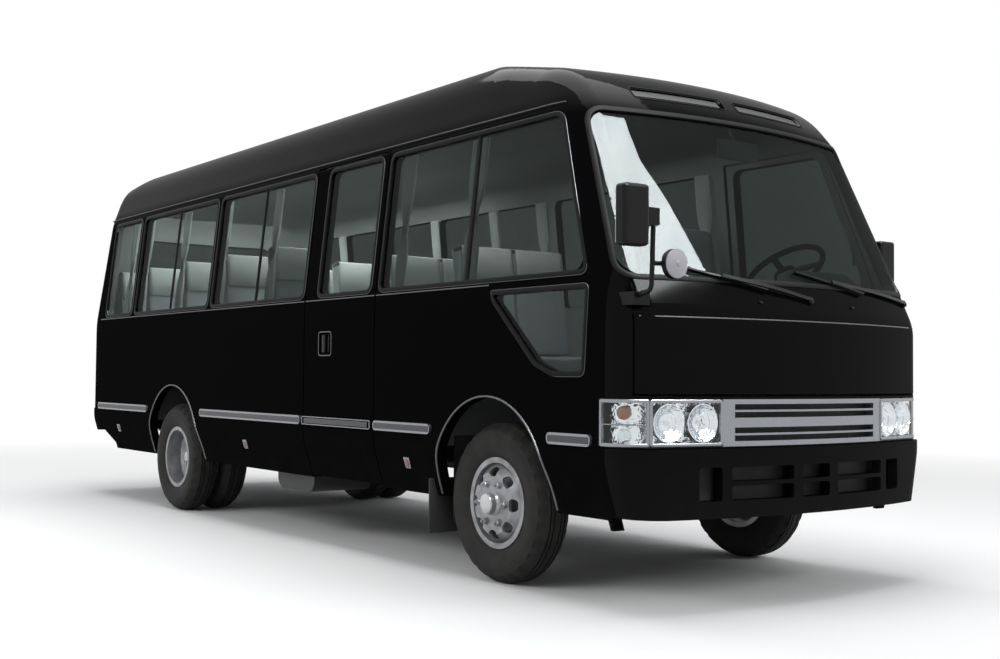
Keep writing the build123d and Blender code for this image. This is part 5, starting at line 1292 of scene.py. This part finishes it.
# %% floor
FADE_FROM, FADE_OVER, FLOOR_HALF = 4.0, 7.0, 60
ground = bpy.data.meshes.new("studio_floor")
ground.from_pydata([(x, y, 0) for x, y in corners(-FLOOR_HALF, FLOOR_HALF, -FLOOR_HALF,
                                                  FLOOR_HALF)], [], [(0, 1, 2, 3)])
floor_piece = bpy.data.objects.new("studio_floor", ground)
bpy.context.scene.collection.objects.link(floor_piece)
SEEN_RAYS = ("Is Camera Ray", "Is Glossy Ray", "Is Transmission Ray")
studio = Finish("studio_floor", Roughness=0.9, Specular_IOR_Level=0.0, Emission_Strength=1.0)
camera_ray, glossy_ray, through_ray = (studio.node("ShaderNodeLightPath", {}, {}, kind)
                                       for kind in SEEN_RAYS)
seen = (camera_ray + glossy_ray + through_ray).clip()
reach = studio.node("ShaderNodeVectorMath", {"operation": "LENGTH"}, {0: studio.place}, "Value")
far = ((reach - FADE_FROM) / FADE_OVER).clip() ** 0.7 * seen
near_colour = studio.blend((0.30, 0.30, 0.30), (0.90, 0.90, 0.90), seen)
studio.paint(Base_Color=studio.blend(near_colour, (0.0, 0.0, 0.0), far),
             Emission_Color=studio.blend((0.0, 0.0, 0.0), (1.0, 1.0, 1.0), far))
ground.materials.append(studio.material)
print("floor", 2 * FLOOR_HALF, "m wide")

# %% [markdown]
# The world is white to the same three kinds of ray and a dim cool grey to all others. One white
# world would wash the lit sides out, so two backgrounds are mixed by the kind of ray.

# %% world
world = bpy.data.worlds.new("studio")
bpy.context.scene.world = world
world.use_nodes = True
tree = world.node_tree
tree.nodes.clear()
output, mix, path, first_sum, both_sums, dim, white = (
    tree.nodes.new(f"ShaderNode{kind}") for kind in
    ("OutputWorld", "MixShader", "LightPath", "Math", "Math", "Background", "Background"))
dim.inputs[0].default_value, dim.inputs[1].default_value = (0.96, 0.98, 1.0, 1), 0.45
white.inputs[0].default_value, white.inputs[1].default_value = (1, 1, 1, 1), 1.0
for source, target in ((path.outputs[SEEN_RAYS[0]], first_sum.inputs[0]),
                       (path.outputs[SEEN_RAYS[1]], first_sum.inputs[1]),
                       (first_sum.outputs[0], both_sums.inputs[0]),
                       (path.outputs[SEEN_RAYS[2]], both_sums.inputs[1]),
                       (both_sums.outputs[0], mix.inputs[0]), (dim.outputs[0], mix.inputs[1]),
                       (white.outputs[0], mix.inputs[2]), (mix.outputs[0], output.inputs[0])):
    tree.links.new(source, target)
print(len(tree.links), "links in the world")

# %% [markdown]
# Large soft lamps overhead, in front and at the side light the black paint with broad, gentle
# reflections. Two more hang under the roof lining and stand in for the daylight that comes in
# through the far windows; neither the camera nor the glass sees them.

# %% lamps
def softbox(name, spot, target, width, height, power):
    """A rectangular area lamp at a spot, turned towards a target."""
    lamp = bpy.data.lights.new(name, "AREA")
    lamp.shape, lamp.size, lamp.size_y, lamp.energy = "RECTANGLE", width, height, power
    made = bpy.data.objects.new(name, lamp)
    bpy.context.scene.collection.objects.link(made)
    made.location = spot
    made.rotation_mode = "QUATERNION"
    made.rotation_quaternion = (Vector(target) - Vector(spot)).to_track_quat("-Z", "Y")
    return made


CABIN_LAMP_Z, CABIN_LAMP_WIDTH = 2.33, 1.3
softbox("overhead", (0, 0, 7.5), (0, 0, 0), 9, 5, 520)
softbox("front_fill", (9.5, 3.5, 4.5), (2, 0, 1), 5, 3, 240).visible_glossy = False
softbox("side_fill", (1, -9, 5.5), (0, 0, 1), 9, 3, 300).visible_glossy = False
for name, x, length, power in (("cabin_rear", -1.7, 3.2, 120), ("cabin_front", 1.5, 1.8, 24)):
    lamp = softbox(name, (x, 0, CABIN_LAMP_Z), (x, 0, 0), length, CABIN_LAMP_WIDTH, power)
    lamp.visible_camera = lamp.visible_glossy = False
print(len(bpy.data.lights), "lamps")

# %% [markdown]
# A pale building stands in the windscreen's reflection, down its right side. Real walls would have
# to stand across the road; a flat shape high in front of the bus gives the same reflection with
# less. Only reflections show it, and only from steeply below, so that the roof's doesn't.

# %% reflected building
CARD_Z, STEEP = 8.0, 0.34
CARD_OUTLINE = [(5.2, -3.8), (6.32, 1.58), (7.31, 2.26), (7.81, 3.06), (8.9, 4.5), (9.8, -1.4),
                (8.0, -2.6)]
card = bpy.data.meshes.new("reflected_building")
card.from_pydata([(x, y, CARD_Z) for x, y in CARD_OUTLINE], [], [range(len(CARD_OUTLINE))])
building = bpy.data.objects.new("reflected_building", card)
bpy.context.scene.collection.objects.link(building)
pale = Finish("building_light", Base_Color=(0, 0, 0, 1), Emission_Strength=66.0)
steep = pale.node("ShaderNodeLayerWeight", {}, {"Blend": 0.5}, "Facing") < STEEP
wall = pale.blend((0.62, 0.68, 0.70), (1.0, 1.0, 1.0), pale.noise(1.4, 5))
pale.paint(Emission_Color=pale.blend((0.0, 0.0, 0.0), wall, steep))
card.materials.append(pale.material)
building.visible_camera = building.visible_diffuse = building.visible_transmission = False
building.visible_shadow = False
print("building at", CARD_Z, "m")

# %% [markdown]
# The camera stands at the bus's front right, a metre above the road, with a slight roll. Its
# heading comes from two angles, and the roll turns it round that heading.

# %% camera
YAW, PITCH, ROLL = math.radians(143.82), math.radians(2.05), math.radians(-0.51)
lens = bpy.data.cameras.new("camera")
lens.lens, lens.sensor_width = 45.72, 36.0
camera = bpy.data.objects.new("camera", lens)
bpy.context.scene.collection.objects.link(camera)
camera.location = (7.274, -4.537, 1.004)
heading = Vector((math.cos(YAW) * math.cos(PITCH), math.sin(YAW) * math.cos(PITCH),
                  math.sin(PITCH)))
camera.rotation_mode = "QUATERNION"
roll = Matrix.Rotation(ROLL, 3, heading).to_quaternion()
camera.rotation_quaternion = roll @ heading.to_track_quat("-Z", "Y")
bpy.context.scene.camera = camera
bpy.context.scene.view_settings.view_transform = "Standard"
print("camera", [round(v, 2) for v in camera.location])
